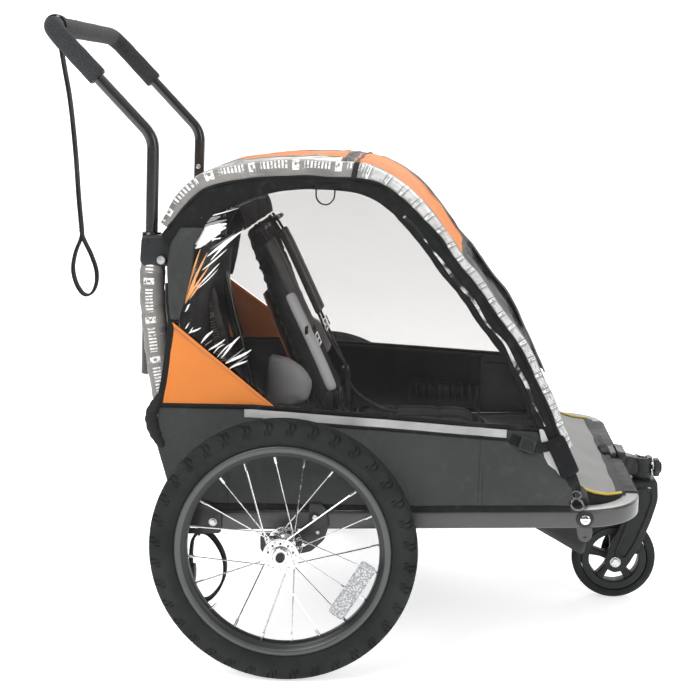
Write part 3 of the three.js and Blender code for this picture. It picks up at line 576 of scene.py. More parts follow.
MATERIALS = {
    "plastic": moulded("moulded_black_plastic", (.016, .017, .018)),
    "fork": moulded("caster_moulded_grey", (.018, .019, .0195), rough=.48, grain=420, spec=.25),
    "hub_hole": moulded("dark_recess", (.01, .01, .01), rough=.6),
    "web": webbing("black_webbing", (.013, .013, .014)),
    "web_grey": webbing("grey_webbing", (.16, .16, .16)),
    "tyre": tyre_rubber(),
    "foam": closed_cell_foam(),
    "band": reflective("reflective_band", (.255, .243, .228), crumple=.0026),
    "band_front": reflective("reflective_band_front", (.30, .298, .29), pitch=.026, tall=True,
                             crumple=.0022),
    "band_plain": reflective("reflective_band_plain", (.27, .27, .265), marks=False),
    "tape": reflective("reflective_tape", (.46, .46, .458), marks=False, crumple=.0004),
    "strap_print": reflective("printed_strap", (.012, .012, .013), mark=(.85, .85, .85),
                              pitch=.036, crumple=.0004),
    "roof_side": fabric("grey_streaked_roof", (.40, .39, .37), rough=.45, pitch=.0012,
                        weave_depth=.0002, uv=True, vary=0, crease=.006, crease_scale=14,
                        sheen=.05, spec=.4, streaked=True),
    "gap": gap_sheen(),
    "vinyl": clear_vinyl("clear_vinyl_window", tint=(.895, .892, .890), haze=.004),
    "vinyl_far": clear_vinyl("clear_vinyl_far", tint=(.82, .815, .813), haze=.04),
    "lens": reflector(),
    "bolster": bolster_cover()}
for table, kind in ((PAINTS, painted), (METALS, metal), (FABRICS, fabric)):
    MATERIALS.update({key: kind(*row) for key, row in table.items()})

SLOTS = {
    "frame_grey": ("frame",), "black_metal": ("black", "handle", "bracket"),
    "bright_steel": ("steel", "chrome", "gunmetal"), "rim_grey": ("rim",),
    "tyre_rubber": ("tyre",), "black_plastic": ("plastic", "fork"), "foam": ("foam",),
    "webbing": ("web", "strap_print"),
    "grey_fabric": ("greypad", "tubepad", "mesh", "tape", "band", "band_plain", "roof_side",
                    "bolster", "yellow"),
    "dark_fabric": ("dark", "darkgrey"),
    "black_fabric": ("blackpad", "blackfab", "piping", "casing", "satin", "gap", "brown"),
    "orange_fabric": ("orange",),
    "clear_vinyl": ("vinyl", "vinyl_far", "crease", "crease_amber"),
    "reflector_lens": ("lens",)}
SLOT_OF = {key: slot for slot, keys in SLOTS.items() for key in keys}

# ---------------------------------------------------------------- mesh objects
FOLDING = []                         # objects listed for the cage's fold; below they get their modifiers applied and a mesh of their own


def link(obj):
    bpy.context.scene.collection.objects.link(obj)
    return obj


def attach(obj, mat, body="base", slot=None, replaces=None, fold=False):
    """parents obj to the body it rides on and hides the CAD node it replaces; the slot (the
    material's own unless given) is worked out but not used
    """
    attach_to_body(obj, body)
    slot = slot or SLOT_OF.get(mat)
    if replaces:
        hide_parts(replaces)
    if fold:
        FOLDING.append(obj)
    return obj


def make(name, verts, faces, mats, body="base", uvs=None, face_mats=None, auto=None, **joins):
    """mesh object in metres; auto is the angle above which edges stay sharp"""
    mesh = bpy.data.meshes.new(name)
    mesh.from_pydata([tuple(v) for v in verts], [], faces)
    mesh.update()
    obj = link(bpy.data.objects.new(name, mesh))
    mats = [mats] if isinstance(mats, str) else mats
    for key in mats:
        mesh.materials.append(MATERIALS[key].material)
    if uvs is not None:
        layer = mesh.uv_layers.new(name="UVMap")
        corners = np.zeros(len(mesh.loops), int)
        mesh.loops.foreach_get("vertex_index", corners)
        layer.data.foreach_set("uv", np.array(uvs, float)[corners].astype(np.float32).ravel())
    if face_mats is not None:
        mesh.polygons.foreach_set("material_index", face_mats)
    mesh.polygons.foreach_set("use_smooth", [True] * len(mesh.polygons))
    if auto is not None:
        mesh.set_sharp_from_angle(angle=radians(auto))
    obj["_m"] = 1                    # marks a mesh made by this function
    return attach(obj, mats[0], body, **joins)


def add_modifier(obj, kind, **settings):
    modifier = obj.modifiers.new(kind, kind)
    for key, value in settings.items():
        setattr(modifier, key, value)


def evaluated_mesh(obj):
    bpy.context.view_layer.update()
    graph = bpy.context.evaluated_depsgraph_get()
    return bpy.data.meshes.new_from_object(obj.evaluated_get(graph))


def bake(obj):
    """applies every modifier"""
    mesh = evaluated_mesh(obj)
    obj.modifiers.clear()
    obj.data = mesh


def fix_normals(mesh, merge=False):
    work = bmesh.new()
    work.from_mesh(mesh)
    if merge:
        bmesh.ops.remove_doubles(work, verts=work.verts, dist=1e-6)
    bmesh.ops.recalc_face_normals(work, faces=work.faces)
    work.to_mesh(mesh)
    work.free()


def quads(rows, width, rows_closed=False, width_closed=True):
    """faces between successive rows of width vertices"""
    faces = []
    for i in range(rows if rows_closed else rows - 1):
        here, ahead = i * width, (i + 1) % rows * width
        for j in range(width if width_closed else width - 1):
            k = (j + 1) % width
            faces.append((here + j, here + k, ahead + k, ahead + j))
    return faces


def flipped(faces):
    return [(a, d, c, b) for a, b, c, d in faces]


# ---------------------------------------------------------------- sections and sweeps
def circle(radius, count=20, x=0, z=0):
    return [(x + radius * cos(a), z + radius * sin(a)) for a in turn(count)]


def rounded(half_width, half_height, corner, segments=3):
    """rectangle with round corners, centred on the origin"""
    right, top = half_width - corner, half_height - corner
    outline = []
    for x, y, start in ((right, top, 0), (-right, top, 90), (-right, -top, 180),
                        (right, -top, 270)):
        for i in range(segments + 1):
            angle = radians(start + 90 * i / segments)
            outline.append((x + corner * cos(angle), y + corner * sin(angle)))
    return outline


def round_poly(points, radius, segments=5):
    """polygon with its corners rounded by quadratic curves"""
    corners = [Vector((p[0], p[1], 0)) for p in points]
    outline = []
    for i, corner in enumerate(corners):
        back = corners[i - 1] - corner
        ahead = corners[(i + 1) % len(corners)] - corner
        reach = min(radius, back.length * .45, ahead.length * .45)
        first = corner + back.normalized() * reach
        last = corner + ahead.normalized() * reach
        for j in range(segments + 1):
            t = j / segments
            point = first * (1 - t) ** 2 + corner * 2 * t * (1 - t) + last * t * t
            outline.append((point.x, point.y))
    return outline


def mirrored(profile):
    """half a (radius, axial) profile, followed by its mirror image"""
    return profile + [(radius, -axial) for radius, axial in reversed(profile)]


def frames(points, up=None):
    """tangents, sides (tangent x up) and normals; without up the frame rolls with the path"""
    last = len(points) - 1
    tangents = []
    for i, point in enumerate(points):
        back = (point - points[i - 1]).normalized() if i else Vector()
        ahead = (points[i + 1] - point).normalized() if i < last else Vector()
        tangents.append((back + ahead).normalized())
    if up is None:
        side = tangents[0].cross(UP if abs(tangents[0].z) < .9 else Y_AXIS).normalized()
    sides, normals = [], []
    for i, tangent in enumerate(tangents):
        if up is not None:
            side = tangent.cross(up[i] if isinstance(up, list) else up).normalized()
        else:
            if i:
                side = tangents[i - 1].rotation_difference(tangent) @ side
            side = (side - tangent * side.dot(tangent)).normalized()
        sides.append(side)
        normals.append(side.cross(tangent).normalized())
    return tangents, sides, normals


def face_normals(points):
    """the normals that keep a strap flat across Y"""
    return [Y_AXIS.cross(tangent).normalized() for tangent in frames(points)[0]]


def pinch(last, across, upright):
    """section scale that narrows the first and the last station"""
    return lambda i: (across, upright) if i in (0, last) else (1, 1)


def uniform(factor):
    return lambda i: (factor(i), factor(i))


# A part is (vertices, faces, uvs); vertices are in metres, profiles in mm.
def tube(points, profile, up=None, scale=None, cap=True, closed=False, rounding=0):
    """profile swept along a path; rounding adds domed ends that stand out by that many mm"""
    scale = scale or (lambda i: (1, 1))
    if rounding:
        count, plain, reach = len(points), scale, rounding / 1000
        start = (points[0] - points[1]).normalized() * reach
        end = (points[-1] - points[-2]).normalized() * reach
        points = [points[0] + start, points[0] + start * .7, *points,
                  points[-1] + end * .7, points[-1] + end]
        dome = {0: .55, count + 3: .55, 1: .87, count + 2: .87}
        scale = lambda i: tuple(value * dome.get(i, 1)
                                for value in plain(min(max(i - 2, 0), count - 1)))
    _, sides, normals = frames(points, up)
    width = len(profile)
    girth = [0]
    for here, ahead in zip(profile, profile[1:]):
        girth.append(girth[-1] + hypot(here[0] - ahead[0], here[1] - ahead[1]) / 1000)
    verts, uvs, length = [], [], 0.0
    for i, point in enumerate(points):
        if i:
            length += (point - points[i - 1]).length
        across, upright = scale(i)
        for j, (x, y) in enumerate(profile):
            verts.append(point + sides[i] * (x * across / 1000)
                         + normals[i] * (y * upright / 1000))
            uvs.append((length, girth[j]))
    faces = quads(len(points), width, rows_closed=closed)
    if cap and not closed:
        first = (len(points) - 1) * width
        faces += [tuple(range(width))[::-1], tuple(range(first, first + width))]
    return verts, faces, uvs


def ring(profile, segments, centre, sign=1, axis="Y", closed=True):
    """(radius, axial) profile turned about an axis; sign mirrors the axial distances"""
    verts, uvs = [], []
    for angle in turn(segments):
        for radius, axial in profile:
            x, z, h = radius * cos(angle) / 1000, radius * sin(angle) / 1000, sign * axial / 1000
            verts.append(centre + Vector({"Y": (x, h, z), "Z": (x, z, h), "X": (h, x, z)}[axis]))
            uvs.append((angle * radius / 1000, h))
    faces = quads(segments, len(profile), rows_closed=True, width_closed=closed)
    return verts, faces, uvs


def end_caps(segments, width):
    return [tuple(i * width for i in range(segments)),
            tuple(i * width + width - 1 for i in range(segments))[::-1]]


def turned(profile, segments, centre, sign=1, axis="Y"):
    """an open profile turned, with both ends capped"""
    verts, faces, uvs = ring(profile, segments, centre, sign, axis, closed=False)
    return verts, faces + end_caps(segments, len(profile)), uvs


def solid(profile, segments, centre, sign=1, axis="Y", tip=None):
    """a turned solid whose profile is carried in to the axis; tip is its last axial height"""
    tip = profile[-1][1] if tip is None else tip
    closed = [(.02, profile[0][1]), *profile, (.02, tip)]
    return turned(closed, segments, centre, sign, axis)


def hex_head(centre, sign, radius, height):
    return turned([(radius * .98, 0), (radius, .4), (radius, height - .8),
                   (radius * .86, height), (.02, height)], 6, centre, sign)


def socket_head(centre, sign, radius, height):
    """domed bolt head with a socket"""
    profile = [(1, 0), (1, .45), (.93, .75), (.7, 1), (.42, 1.02), (.40, .35)]
    profile = [(radius * r, height * h) for r, h in profile] + [(.02, height * .35)]
    return turned(profile, 20, centre, sign)


def build(name, parts, mats, body="base", auto=40, clean=True, **joins):
    """one object from several parts"""
    verts, faces, uvs = [], [], []
    for part_verts, part_faces, part_uvs in parts:
        first = len(verts)
        verts += part_verts
        faces += [tuple(i + first for i in face) for face in part_faces]
        uvs += part_uvs
    obj = make(name, verts, faces, mats, body, uvs, auto=auto, **joins)
    if clean:
        fix_normals(obj.data)
    return obj


def sweep(name, points, profile, mat, body="base", slot=None, replaces=None, fold=False, auto=40,
          **shape):
    return build(name, [tube(points, profile, **shape)], mat, body, auto, slot=slot,
                 replaces=replaces, fold=fold)


def plate(name, outline, holes, sign, inner_y, outer_y, mat, body="base", bevel=1.0, **joins):
    """x, z outline with holes and bevelled edges, between two distances from the middle"""
    curve = bpy.data.curves.new(name, "CURVE")
    curve.dimensions = "2D"
    curve.fill_mode = "BOTH"
    curve.extrude = abs(outer_y - inner_y) / 2000 - bevel / 1000
    curve.bevel_depth = bevel / 1000
    curve.bevel_resolution = 2
    curve.offset = -bevel / 1000
    for loop in [outline] + holes:
        spline = curve.splines.new("POLY")
        spline.points.add(len(loop) - 1)
        spline.use_cyclic_u = True
        for point, (x, z) in zip(spline.points, loop):
            point.co = (x / 1000 + AXLE_X, z / 1000, 0, 1)
    source = link(bpy.data.objects.new(name + "_c", curve))
    mesh = evaluated_mesh(source)
    bpy.data.objects.remove(source)
    middle = Matrix.Translation((0, sign * (inner_y + outer_y) / 2000, 0))
    mesh.transform(middle @ Matrix.Rotation(radians(90), 4, "X"))
    mesh.name = name
    mesh.materials.clear()
    mesh.materials.append(MATERIALS[mat].material)
    mesh.polygons.foreach_set("use_smooth", [True] * len(mesh.polygons))
    mesh.set_sharp_from_angle(angle=radians(35))
    obj = link(bpy.data.objects.new(name, mesh))
    fix_normals(mesh, merge=True)
    return attach(obj, mat, body, **joins)


def grid(name, rows, mats, body="base", thick=1.6, uvs=None, face_mat=None, **joins):
    """sheet through rows of points; face_mat(i, j) picks a face's material; thick in mm"""
    width = len(rows[0])
    if uvs is None:
        # u grows with the mean run of the columns passed so far, v with the run along the row
        uvs, runs = [], [0.0] * width
        for i, row in enumerate(rows):
            v = 0.0
            for j, point in enumerate(row):
                if i:
                    runs[j] += (point - rows[i - 1][j]).length
                if j:
                    v += (point - row[j - 1]).length
                uvs.append((sum(runs) / width, v))
    faces = flipped(quads(len(rows), width, width_closed=False))
    face_mats = face_mat and [face_mat(i, j) for i in range(len(rows) - 1)
                              for j in range(width - 1)]
    obj = make(name, [p for row in rows for p in row], faces, mats, body, uvs, face_mats, 60,
               **joins)
    add_modifier(obj, "SOLIDIFY", thickness=thick / 1000, offset=0)
    return obj


def stitches(name, path, up, shift, lift, pitch, length, slot, mat="thread", radius=.55,
             body="base", **joins):
    """thread dashes along a path, shifted sideways and lifted along the face normal; mm"""
    _, sides, normals = frames(path, up)
    places = np.array([list(p + side * shift / 1000 + normal * lift / 1000)
                       for p, side, normal in zip(path, sides, normals)])
    gaps = [(Vector(b) - Vector(a)).length for a, b in zip(places, places[1:])]
    run = np.concatenate([[0], np.cumsum(gaps)])

    def sample(table, at):
        return Vector([np.interp(at, run, column) for column in table.T])

    normals = np.array([list(n) for n in normals])
    parts, start = [], pitch / 2000
    while start + length / 1000 < run[-1]:
        first, middle, last = [sample(places, start + length * f / 2000) for f in range(3)]
        normal = sample(normals, start).normalized()
        dash = [first - normal * .0004, middle + normal * .0002, last - normal * .0004]
        parts.append(tube(dash, circle(radius, 5), up=normal))
        start += pitch / 1000
    build(name, parts, mat, body, auto=None, clean=False, slot=slot, **joins)


def lean_panel(name, xs, lower, upper, offset, sign, mat, rows, thick, **joins):
    """sheet in a leaning side plane; offset(x, z, v, u) is mm outside the plane"""
    points = []
    for i, x in enumerate(xs):
        low, high = interp(lower, x), interp(upper, x)
        row = []
        for v in steps(0, 1, rows):
            z = low + (high - low) * v
            row.append(lean(x, z, sign, offset(x, z, v, i / (len(xs) - 1))))
        points.append(row)
    uvs = [(p.x, p.z) for row in points for p in row]
    grid(name, points, mat, thick=thick, uvs=uvs, **joins)


# ---------------------------------------------------------------- base frame
CROSS_TUBES = ((-140, 9.5, 0), (190, 11, -2))           # x, radius, height from the rail line


def on_rail(x, y):
    return pos(x, y, rail_z(x))


def base_frame():
    rail = fillet([on_rail(RAIL_START_X, -RAIL_Y), on_rail(NOSE_X, -RAIL_Y),
                   on_rail(NOSE_X, RAIL_Y), on_rail(RAIL_START_X, RAIL_Y)], [.08, .08], 18)
    rail = ([rail[0].lerp(rail[1], i / 8) for i in range(8)] + rail[1:-1]
            + [rail[-2].lerp(rail[-1], i / 8) for i in range(1, 9)])
    parts = [tube(rail, rounded(14, 14, 4, 4), up=UP)]
    for x, radius, rise in CROSS_TUBES:
        line = [pos(x, y, rail_z(x) + rise) for y in steps(-308, 308, 12)]
        parts.append(tube(line, circle(radius)))
    build("base_frame_tube", parts, "frame", replaces="base_frame")


def rail_ends(side, sign):
    """plastic plug in the rail's end, and weld beads at the cross tubes"""
    y = sign * RAIL_Y
    sweep("rail_end_plug_" + side,
          [on_rail(-143, y), pos(-150.5, y, rail_z(-150)), on_rail(-152, y)],
          rounded(14.6, 14.6, 4.4, 4), "plastic", up=UP,
          scale=lambda i: (1, 1) if i < 2 else (.9, .9))
    beads = []
    for x, radius, rise in CROSS_TUBES:
        radius += 1.2
        loop = [pos(x + radius * cos(a), sign * (303.4 + .5 * sin(a * 9)),
                    rail_z(x) + rise + radius * sin(a)) for a in turn(40)]
        beads.append(tube(loop, circle(1.8, 6), closed=True))
    build("weld_beads_" + side, beads, "frame", clean=False)


AXLE_BRACKET = [
    (36, 258), (54, 258), (62, 250), (64, 222), (58, 202), (38, 183), (18, 178), (-34, 178),
    (-40, 184), (-40, 206), (-34, 212), (22, 214), (34, 226), (34, 250)]
REAR_BRACKET = [(-156, 206), (-100, 208), (-98, 240), (-118, 256), (-156, 256)]


def axle_and_brackets(side, sign):
    axle = pos(0, 0, AXLE_Z)
    plate("axle_bracket_plate_" + side, round_poly(AXLE_BRACKET, 5),
          [circle(6.6, 20, 0, WHEEL_R), circle(3.2, 16, 26, 192), circle(3.2, 16, -27, 196)],
          sign, 333, 339, "bracket", replaces="axle_bracket_" + side)
    build("axle_socket_" + side,
          [ring([(6.6, 339.2), (12.2, 339.2), (13, 340.2), (13, 345.5), (12, 347), (6.6, 347)],
                32, axle, sign)], "steel")
    bolt_x, bolt_z = 44, rail_z(44) + 8
    build("bracket_bolts_" + side,
          [hex_head(pos(bolt_x, sign * 340, bolt_z), sign, 4.6, 4),
           hex_head(pos(48, sign * 339, 214), sign, 3.4, 3)], "steel", auto=30)
    build("bracket_washers_" + side,
          [solid([(7.2, 338.8), (7.5, 339.6), (7, 340.2)], 24, pos(bolt_x, 0, bolt_z), sign)],
          "plastic")
    build("axle_pin_" + side,
          [solid([(5.4, 296), (6, 297), (6, 408), (6, 417), (5.5, 417.5)], 24, axle, sign)],
          "steel", replaces="axle_" + side)
    build("release_button_" + side,
          [solid([(6.3, 421.5), (6.5, 422), (6.5, 425.4), (5.9, 426.6), (4.6, 427),
                  (4.2, 426.3)], 28, axle, sign, tip=426.1)],
          "plastic", "button_" + side, replaces="axle_button_" + side)


def pivots(side, sign):
    x, z = FRONT_PIVOT
    pivot = pos(x, 0, z)
    dome = [(8.2, 332.6), (8.2, 335.4), (7.4, 337.2), (5.2, 338.4), (2.8, 338.8), (2.6, 336.6)]
    build("front_bolt_" + side,
          [solid(dome, 28, pivot, sign, tip=336.4),
           solid([(4.4, 287), (4.4, 333)], 16, pivot, sign)],
          "chrome", auto=35, replaces="front_pivot_bolt_" + side)
    build("front_bolt_ring_" + side,
          [ring([(7.9, 332.2), (12.6, 332.2), (13, 333.2), (12, 335), (8.6, 336)],
                32, pivot, sign)], "plastic")
    x, z = REAR_PIVOT
    seat = pos(x, sign * 337.6, z)
    build("rear_bolt_" + side,
          [hex_head(seat, sign, 5, 5),
           solid([(6.25, -.2), (6.5, .5), (6, 1)], 24, seat, sign),
           solid([(4.4, 0), (4.4, -61)], 14, seat, sign)],
          "steel", auto=30, replaces="rear_pivot_bolt_" + side)
    plate("rear_bracket_plate_" + side, round_poly(REAR_BRACKET, 6),
          [circle(4.8, 18, x, z), circle(3, 14, -144, 246)], sign, 332.5, 337, "bracket",
          bevel=.9, replaces="rear_bracket_" + side)


base_frame()
for side, sign in SIDES:
    rail_ends(side, sign)
build("axle_beam_tube",
      [solid(mirrored([(11.6, -329), (12.4, -328)]), 28, pos(0, 0, AXLE_Z))],
      "black", replaces="axle_beam")
for side, sign in SIDES:
    axle_and_brackets(side, sign)
    pivots(side, sign)

# ---------------------------------------------------------------- wheels
BEAD_R = 161.6                       # inner radius of the tyre
TYRE_HALF_WIDTH = 22
TYRE_SEGMENTS = 720
LUGS = 36
GROOVE_DEPTH = 2.9
SPOKES = 20
# radius and axial place round the rim's section; the last eight points are mirrored
RIM = [(161, -13.5), (161.6, -12), (159, -11), (158, 0), (159, 11), (161.6, 12), (161, 13.5),
       (158.5, 14.4), (154, 14), (151.6, 12.6), (150.6, 11.6), (148, 10.5), (145, 8.6),
       (143.6, 6), (143, 3)]
RIM += [(radius, -axial) for radius, axial in reversed(RIM[7:])]
HUB_HALF = [(6.9, 35), (11.4, 35), (12.2, 34.2), (12.4, 31), (15.5, 30.4), (15.8, 25.8),
            (12, 24), (11, 18), (11, 0), (6.9, 0)]


def tyre(side, centre):
    """carcass with a rounded crown, bead, sidewall rib and cut tread"""
    depth = WHEEL_R - BEAD_R
    wall = [(BEAD_R, -.5), (BEAD_R + .024 * WHEEL_R, -.68), (BEAD_R + depth * .22, -.9),
            (BEAD_R + depth * .38, -1), (BEAD_R + depth * .44, -1), (BEAD_R + depth * .46, -.975),
            (BEAD_R + depth * .54, -.97)]
    wall = [(radius, y * TYRE_HALF_WIDTH) for radius, y in wall]
    tread_r = BEAD_R + depth * .60
    crown = []
    for k in range(23):
        angle = radians(-90 + 180 * k / 22)
        rise = (WHEEL_R - tread_r) * max(0, cos(angle)) ** .62
        crown.append((tread_r + rise, TYRE_HALF_WIDTH * .955 * sin(angle)))
    section = np.array(wall + crown + [(radius, -y) for radius, y in reversed(wall)])
    radius = np.repeat(section[None, :, 0], TYRE_SEGMENTS, 0)
    y = np.repeat(section[None, :, 1], TYRE_SEGMENTS, 0)
    angle = (2 * np.pi * np.arange(TYRE_SEGMENTS) / TYRE_SEGMENTS)[:, None] + 0 * radius
    out = np.abs(y) / TYRE_HALF_WIDTH
    turns = angle * LUGS / (2 * np.pi)
    stagger = (y > 0) * .5
    slant = (turns + out * .75 + stagger) % 1.0
    bend = .16 * np.sin(np.clip((radius - tread_r) / (WHEEL_R - tread_r), 0, 1) * 3.1)
    curved = (turns + stagger + bend) % 1.0
    zone = radius > BEAD_R + depth * .50
    groove = (((slant < .15) & (out > .30) & (out < .80))
              | ((np.abs(curved - .5) < .055) & (out > .55))
              | ((np.abs(curved - .70) < .035) & (out > .80)))
    centre_groove = np.abs(out - .13) < .035
    cut = np.where(zone & (groove | centre_groove), GROOVE_DEPTH, 0.0)
    notch = zone & (out > .3) & (out < .42) & ((turns * 2) % 1 < .14)
    cut += np.where(notch, GROOVE_DEPTH * .7, 0)
    rise = radius - tread_r
    length = np.sqrt(rise ** 2 + y ** 2) + 1e-9
    radius = radius - cut * np.clip(rise / length + .3, 0, 1)
    y = y - cut * (y / length) * .8
    verts = np.stack([radius * np.cos(angle) / 1000 + centre.x, y / 1000 + centre.y,
                      radius * np.sin(angle) / 1000 + centre.z], -1).reshape(-1, 3)
    faces = flipped(quads(TYRE_SEGMENTS, len(section), rows_closed=True))
    obj = make("tyre_tread_" + side, verts, faces, "tyre", "wheel_" + side, auto=38,
               replaces="tyre_" + side)
    fix_normals(obj.data)


def spoke_angles(i):
    """the spoke's side (+1 or -1), its angle at the rim and its angle at the hub"""
    angle = i / SPOKES * pi * 2 + .08
    return (1 if i % 2 else -1), angle, angle + (1 if (i // 2) % 2 else -1) * .62


def hub_and_spokes(side, centre):
    parts = [ring(HUB_HALF, 40, centre, end) for end in (1, -1)]
    parts.append(ring(mirrored([(11.1, -3), (13, -3), (13.4, -2)]), 40, centre))
    for i in range(SPOKES):
        out, rim_angle, hub_angle = spoke_angles(i)
        inner = centre + Vector((22.5 * cos(hub_angle), out * 28, 22.5 * sin(hub_angle))) / 1000
        outer = centre + Vector((142.6 * cos(rim_angle), out * 2.2,
                                 142.6 * sin(rim_angle))) / 1000
        along = (outer - inner).normalized()
        head = inner + Vector((0, out * .0034, 0))
        neck = head + (inner + Vector((0, out * .0015, 0)) - head) * .9
        elbow = inner + along * .004 + Vector((0, out * .0005, 0))
        parts.append(tube([head, neck, elbow, inner + along * .02, outer - along * .01, outer],
                          circle(1.05, 8)))
        nipple = [outer - along * back for back in (.0115, .011, .0005, 0)]
        parts.append(tube(nipple, circle(2.1, 8), scale=pinch(0, .7, .7)))
    build("hub_and_spokes_" + side, parts, "chrome", "wheel_" + side,
          replaces="spoked_hub_" + side)


def hub_flanges(side, sign):
    for end, tag in ((1, "outer"), (-1, "inner")):
        holes = [circle(15.7, 36, 0, WHEEL_R)]
        for i in range(SPOKES):
            out, _, angle = spoke_angles(i)
            if out == end:
                holes.append(circle(1.5, 8, 22.5 * cos(angle), WHEEL_R + 22.5 * sin(angle)))
        for i in range(10):
            angle = i * .628 + .33
            holes.append(circle(1.7, 10, 19.3 * cos(angle), WHEEL_R + 19.3 * sin(angle)))
        middle = sign * TYRE_Y
        plate("hub_flange_%s_%s" % (tag, side), circle(27, 60, 0, WHEEL_R), holes, 1,
              middle + end * 26.6, middle + end * 29.6, "chrome", "wheel_" + side, bevel=.5)


def spoke_reflector(side, sign):
    """framed lens with prism ribs and three clips behind it"""
    tilt = Matrix.Rotation(radians(33), 4, "Y")
    centre = pos(104, sign * 402.5, 146)
    body = "wheel_" + side

    def local(x, y, z):
        return centre + tilt @ Vector((x, sign * y, z)) / 1000

    lens = [tube([local(0, 1.2, z) for z in steps(-45, 45, 3)], rounded(11.6, 1.3, 1),
                 up=Vector((0, -sign, 0)))]
    for k in range(21):
        z = -42.5 + k * 4.25
        lens.append(tube([local(-10.6, 2.3, z), local(10.6, 2.3, z)],
                         [(-1.9, -.3), (1.9, -.3), (0, .5)], up=Vector((0, sign, 0))))
    build("reflector_lens_" + side, lens, "lens", body, clean=False,
          replaces="spoke_reflector_" + side)
    outline = [(-12.4, -43), (-9, -46.4), (9, -46.4), (12.4, -43), (12.4, 43), (9, 46.4),
               (-9, 46.4), (-12.4, 43)]
    rim = [tube([local(x, .6, z) for x, z in outline], rounded(1.0, 2.1, .5, 2), up=Y_AXIS,
                closed=True)]
    for z in (-24, 0, 24):
        rim.append(tube([local(-9, -2.2, z), local(9, -2.2, z)], rounded(2.4, 1.5, .8, 2),
                        up=Y_AXIS))
    build("reflector_frame_" + side, rim, "lens", body, clean=False)


for side, sign in SIDES:
    centre = pos(0, sign * TYRE_Y, AXLE_Z)
    tyre(side, centre)
    rim = build("rim_hoop_" + side, [ring(RIM, 144, centre)], ["rim", "rim_in"],
                "wheel_" + side, auto=60, replaces="rim_" + side)
    for face in rim.data.polygons:
        if hypot(face.center.x - centre.x, face.center.z - centre.z) < .1512:
            face.material_index = 1
    hub_and_spokes(side, centre)
    hub_flanges(side, sign)
    spoke_reflector(side, sign)

# ---------------------------------------------------------------- caster
# (radius, axial) half sections
CASTER_TREAD = [(56.6, -13), (57.4, -16), (60, -17.2), (64, -17), (67.5, -15), (70, -11),
                (70.6, -10.6), (69.4, -9.2), (69.8, -8), (71.4, -6.8), (71.8, -3.4),
                (70.8, -2.2)]
CASTER_RIM = [(43, -12.5), (44, -14), (53, -15), (55.4, -14.6), (55.8, -12)]
CASTER_HUB = [(5, -20), (10.8, -20), (12, -19), (12.4, -14)]
BEARING = [(4.9, 20.1), (8.4, 20.1), (9, 20.6), (9, 21.8), (8.4, 22.3), (4.9, 22.3)]
# x, z outlines: the fork blade, and the outer and inner edge of the rib on its face
FORK_BLADE = [(560, 213.5), (602, 213.5), (604, 184), (594, 148), (578, 104), (557, 66),
              (547, 56), (535, 52), (523, 57), (517, 68), (519, 84), (541, 136), (556, 182)]
RIB_OUTER = [(567, 205), (596, 205), (597, 184), (587, 150), (571, 108), (553, 76), (541, 78),
             (533, 88), (548, 132), (563, 180)]
RIB_INNER = [(571, 200), (592, 200), (592.5, 184), (582.5, 151), (567, 110), (551, 81),
             (544, 82), (538, 90), (552.5, 131), (567.5, 180)]
CASTER_AXLE = pos(CASTER[0], 0, CASTER[1])
SWIVEL = pos(SWIVEL_X, 0, 0)


def caster_wheel():
    build("caster_tread", [ring(mirrored(CASTER_TREAD), 120, CASTER_AXLE)], "tyre",
          "caster_wheel", replaces="caster_tyre")
    parts = [ring(mirrored(CASTER_RIM), 96, CASTER_AXLE),
             ring(mirrored(CASTER_HUB), 48, CASTER_AXLE)]
    waist = [(1.25, 1.15), (1, 1), (.86, .9), (1, 1), (1.25, 1.15)]
    for i in range(5):
        angle = .35 + i * 2 * pi / 5
        out = Vector((cos(angle), 0, sin(angle)))
        parts.append(tube([CASTER_AXLE + out * radius / 1000 for radius in (8, 14, 24, 34, 44)],
                          rounded(6.4, 9.2, 2.4), up=Y_AXIS, scale=lambda k: waist[k]))
    build("caster_wheel_hub", parts, "fork", "caster_wheel", replaces="caster_wheel")
    build("caster_bearing", [ring(BEARING, 32, CASTER_AXLE, end) for end in (1, -1)], "steel",
          "caster_wheel")


def fork_blade(side, sign):
    x, z = CASTER
    right = side == "right"
    plate("fork_blade_" + side, round_poly(FORK_BLADE, 9, 6), [circle(4.9, 20, x, z)], sign,
          27, 34, "fork", "caster_fork", bevel=1.8, replaces="caster_fork" if right else None)
    plate("fork_rib_" + side, round_poly(RIB_OUTER, 8), [round_poly(RIB_INNER, 7)], sign,
          33.4, 36.4, "fork", "caster_fork", bevel=.9)
    build("caster_axle_head_" + side,
          [hex_head(pos(x, sign * 34.2, z), sign, 7.6, 4.2),
           solid([(9, 33.9), (9.4, 34.5), (8.8, 35.1)], 24, CASTER_AXLE, sign)],
          "steel", "caster_fork", auto=30, replaces="caster_axle" if right else None)


def fork_crown():
    build("caster_axle_rod", [solid([(4.2, -34), (4.2, 34)], 18, CASTER_AXLE)], "steel",
          "caster_fork")
    block = tube([pos(x, 0, 201.8) for x in steps(560.5, 602.5, 5)], rounded(33, 11.7, 6, 4),
                 up=UP, scale=pinch(4, .95, .93))
    stem = [(15, 212), (15.4, 213), (15, 216.4), (6.1, 216.4), (6.1, 240)]
    build("fork_crown", [block, solid(stem, 30, SWIVEL, axis="Z")], "fork", "caster_fork",
          auto=45)
    build("crown_bolt",
          [solid([(3.8, 33), (3.8, 35), (3, 35.8)], 22, pos(588, 0, 203), end, tip=36)
           for end in (-1, 1)], "steel", "caster_fork", auto=30)


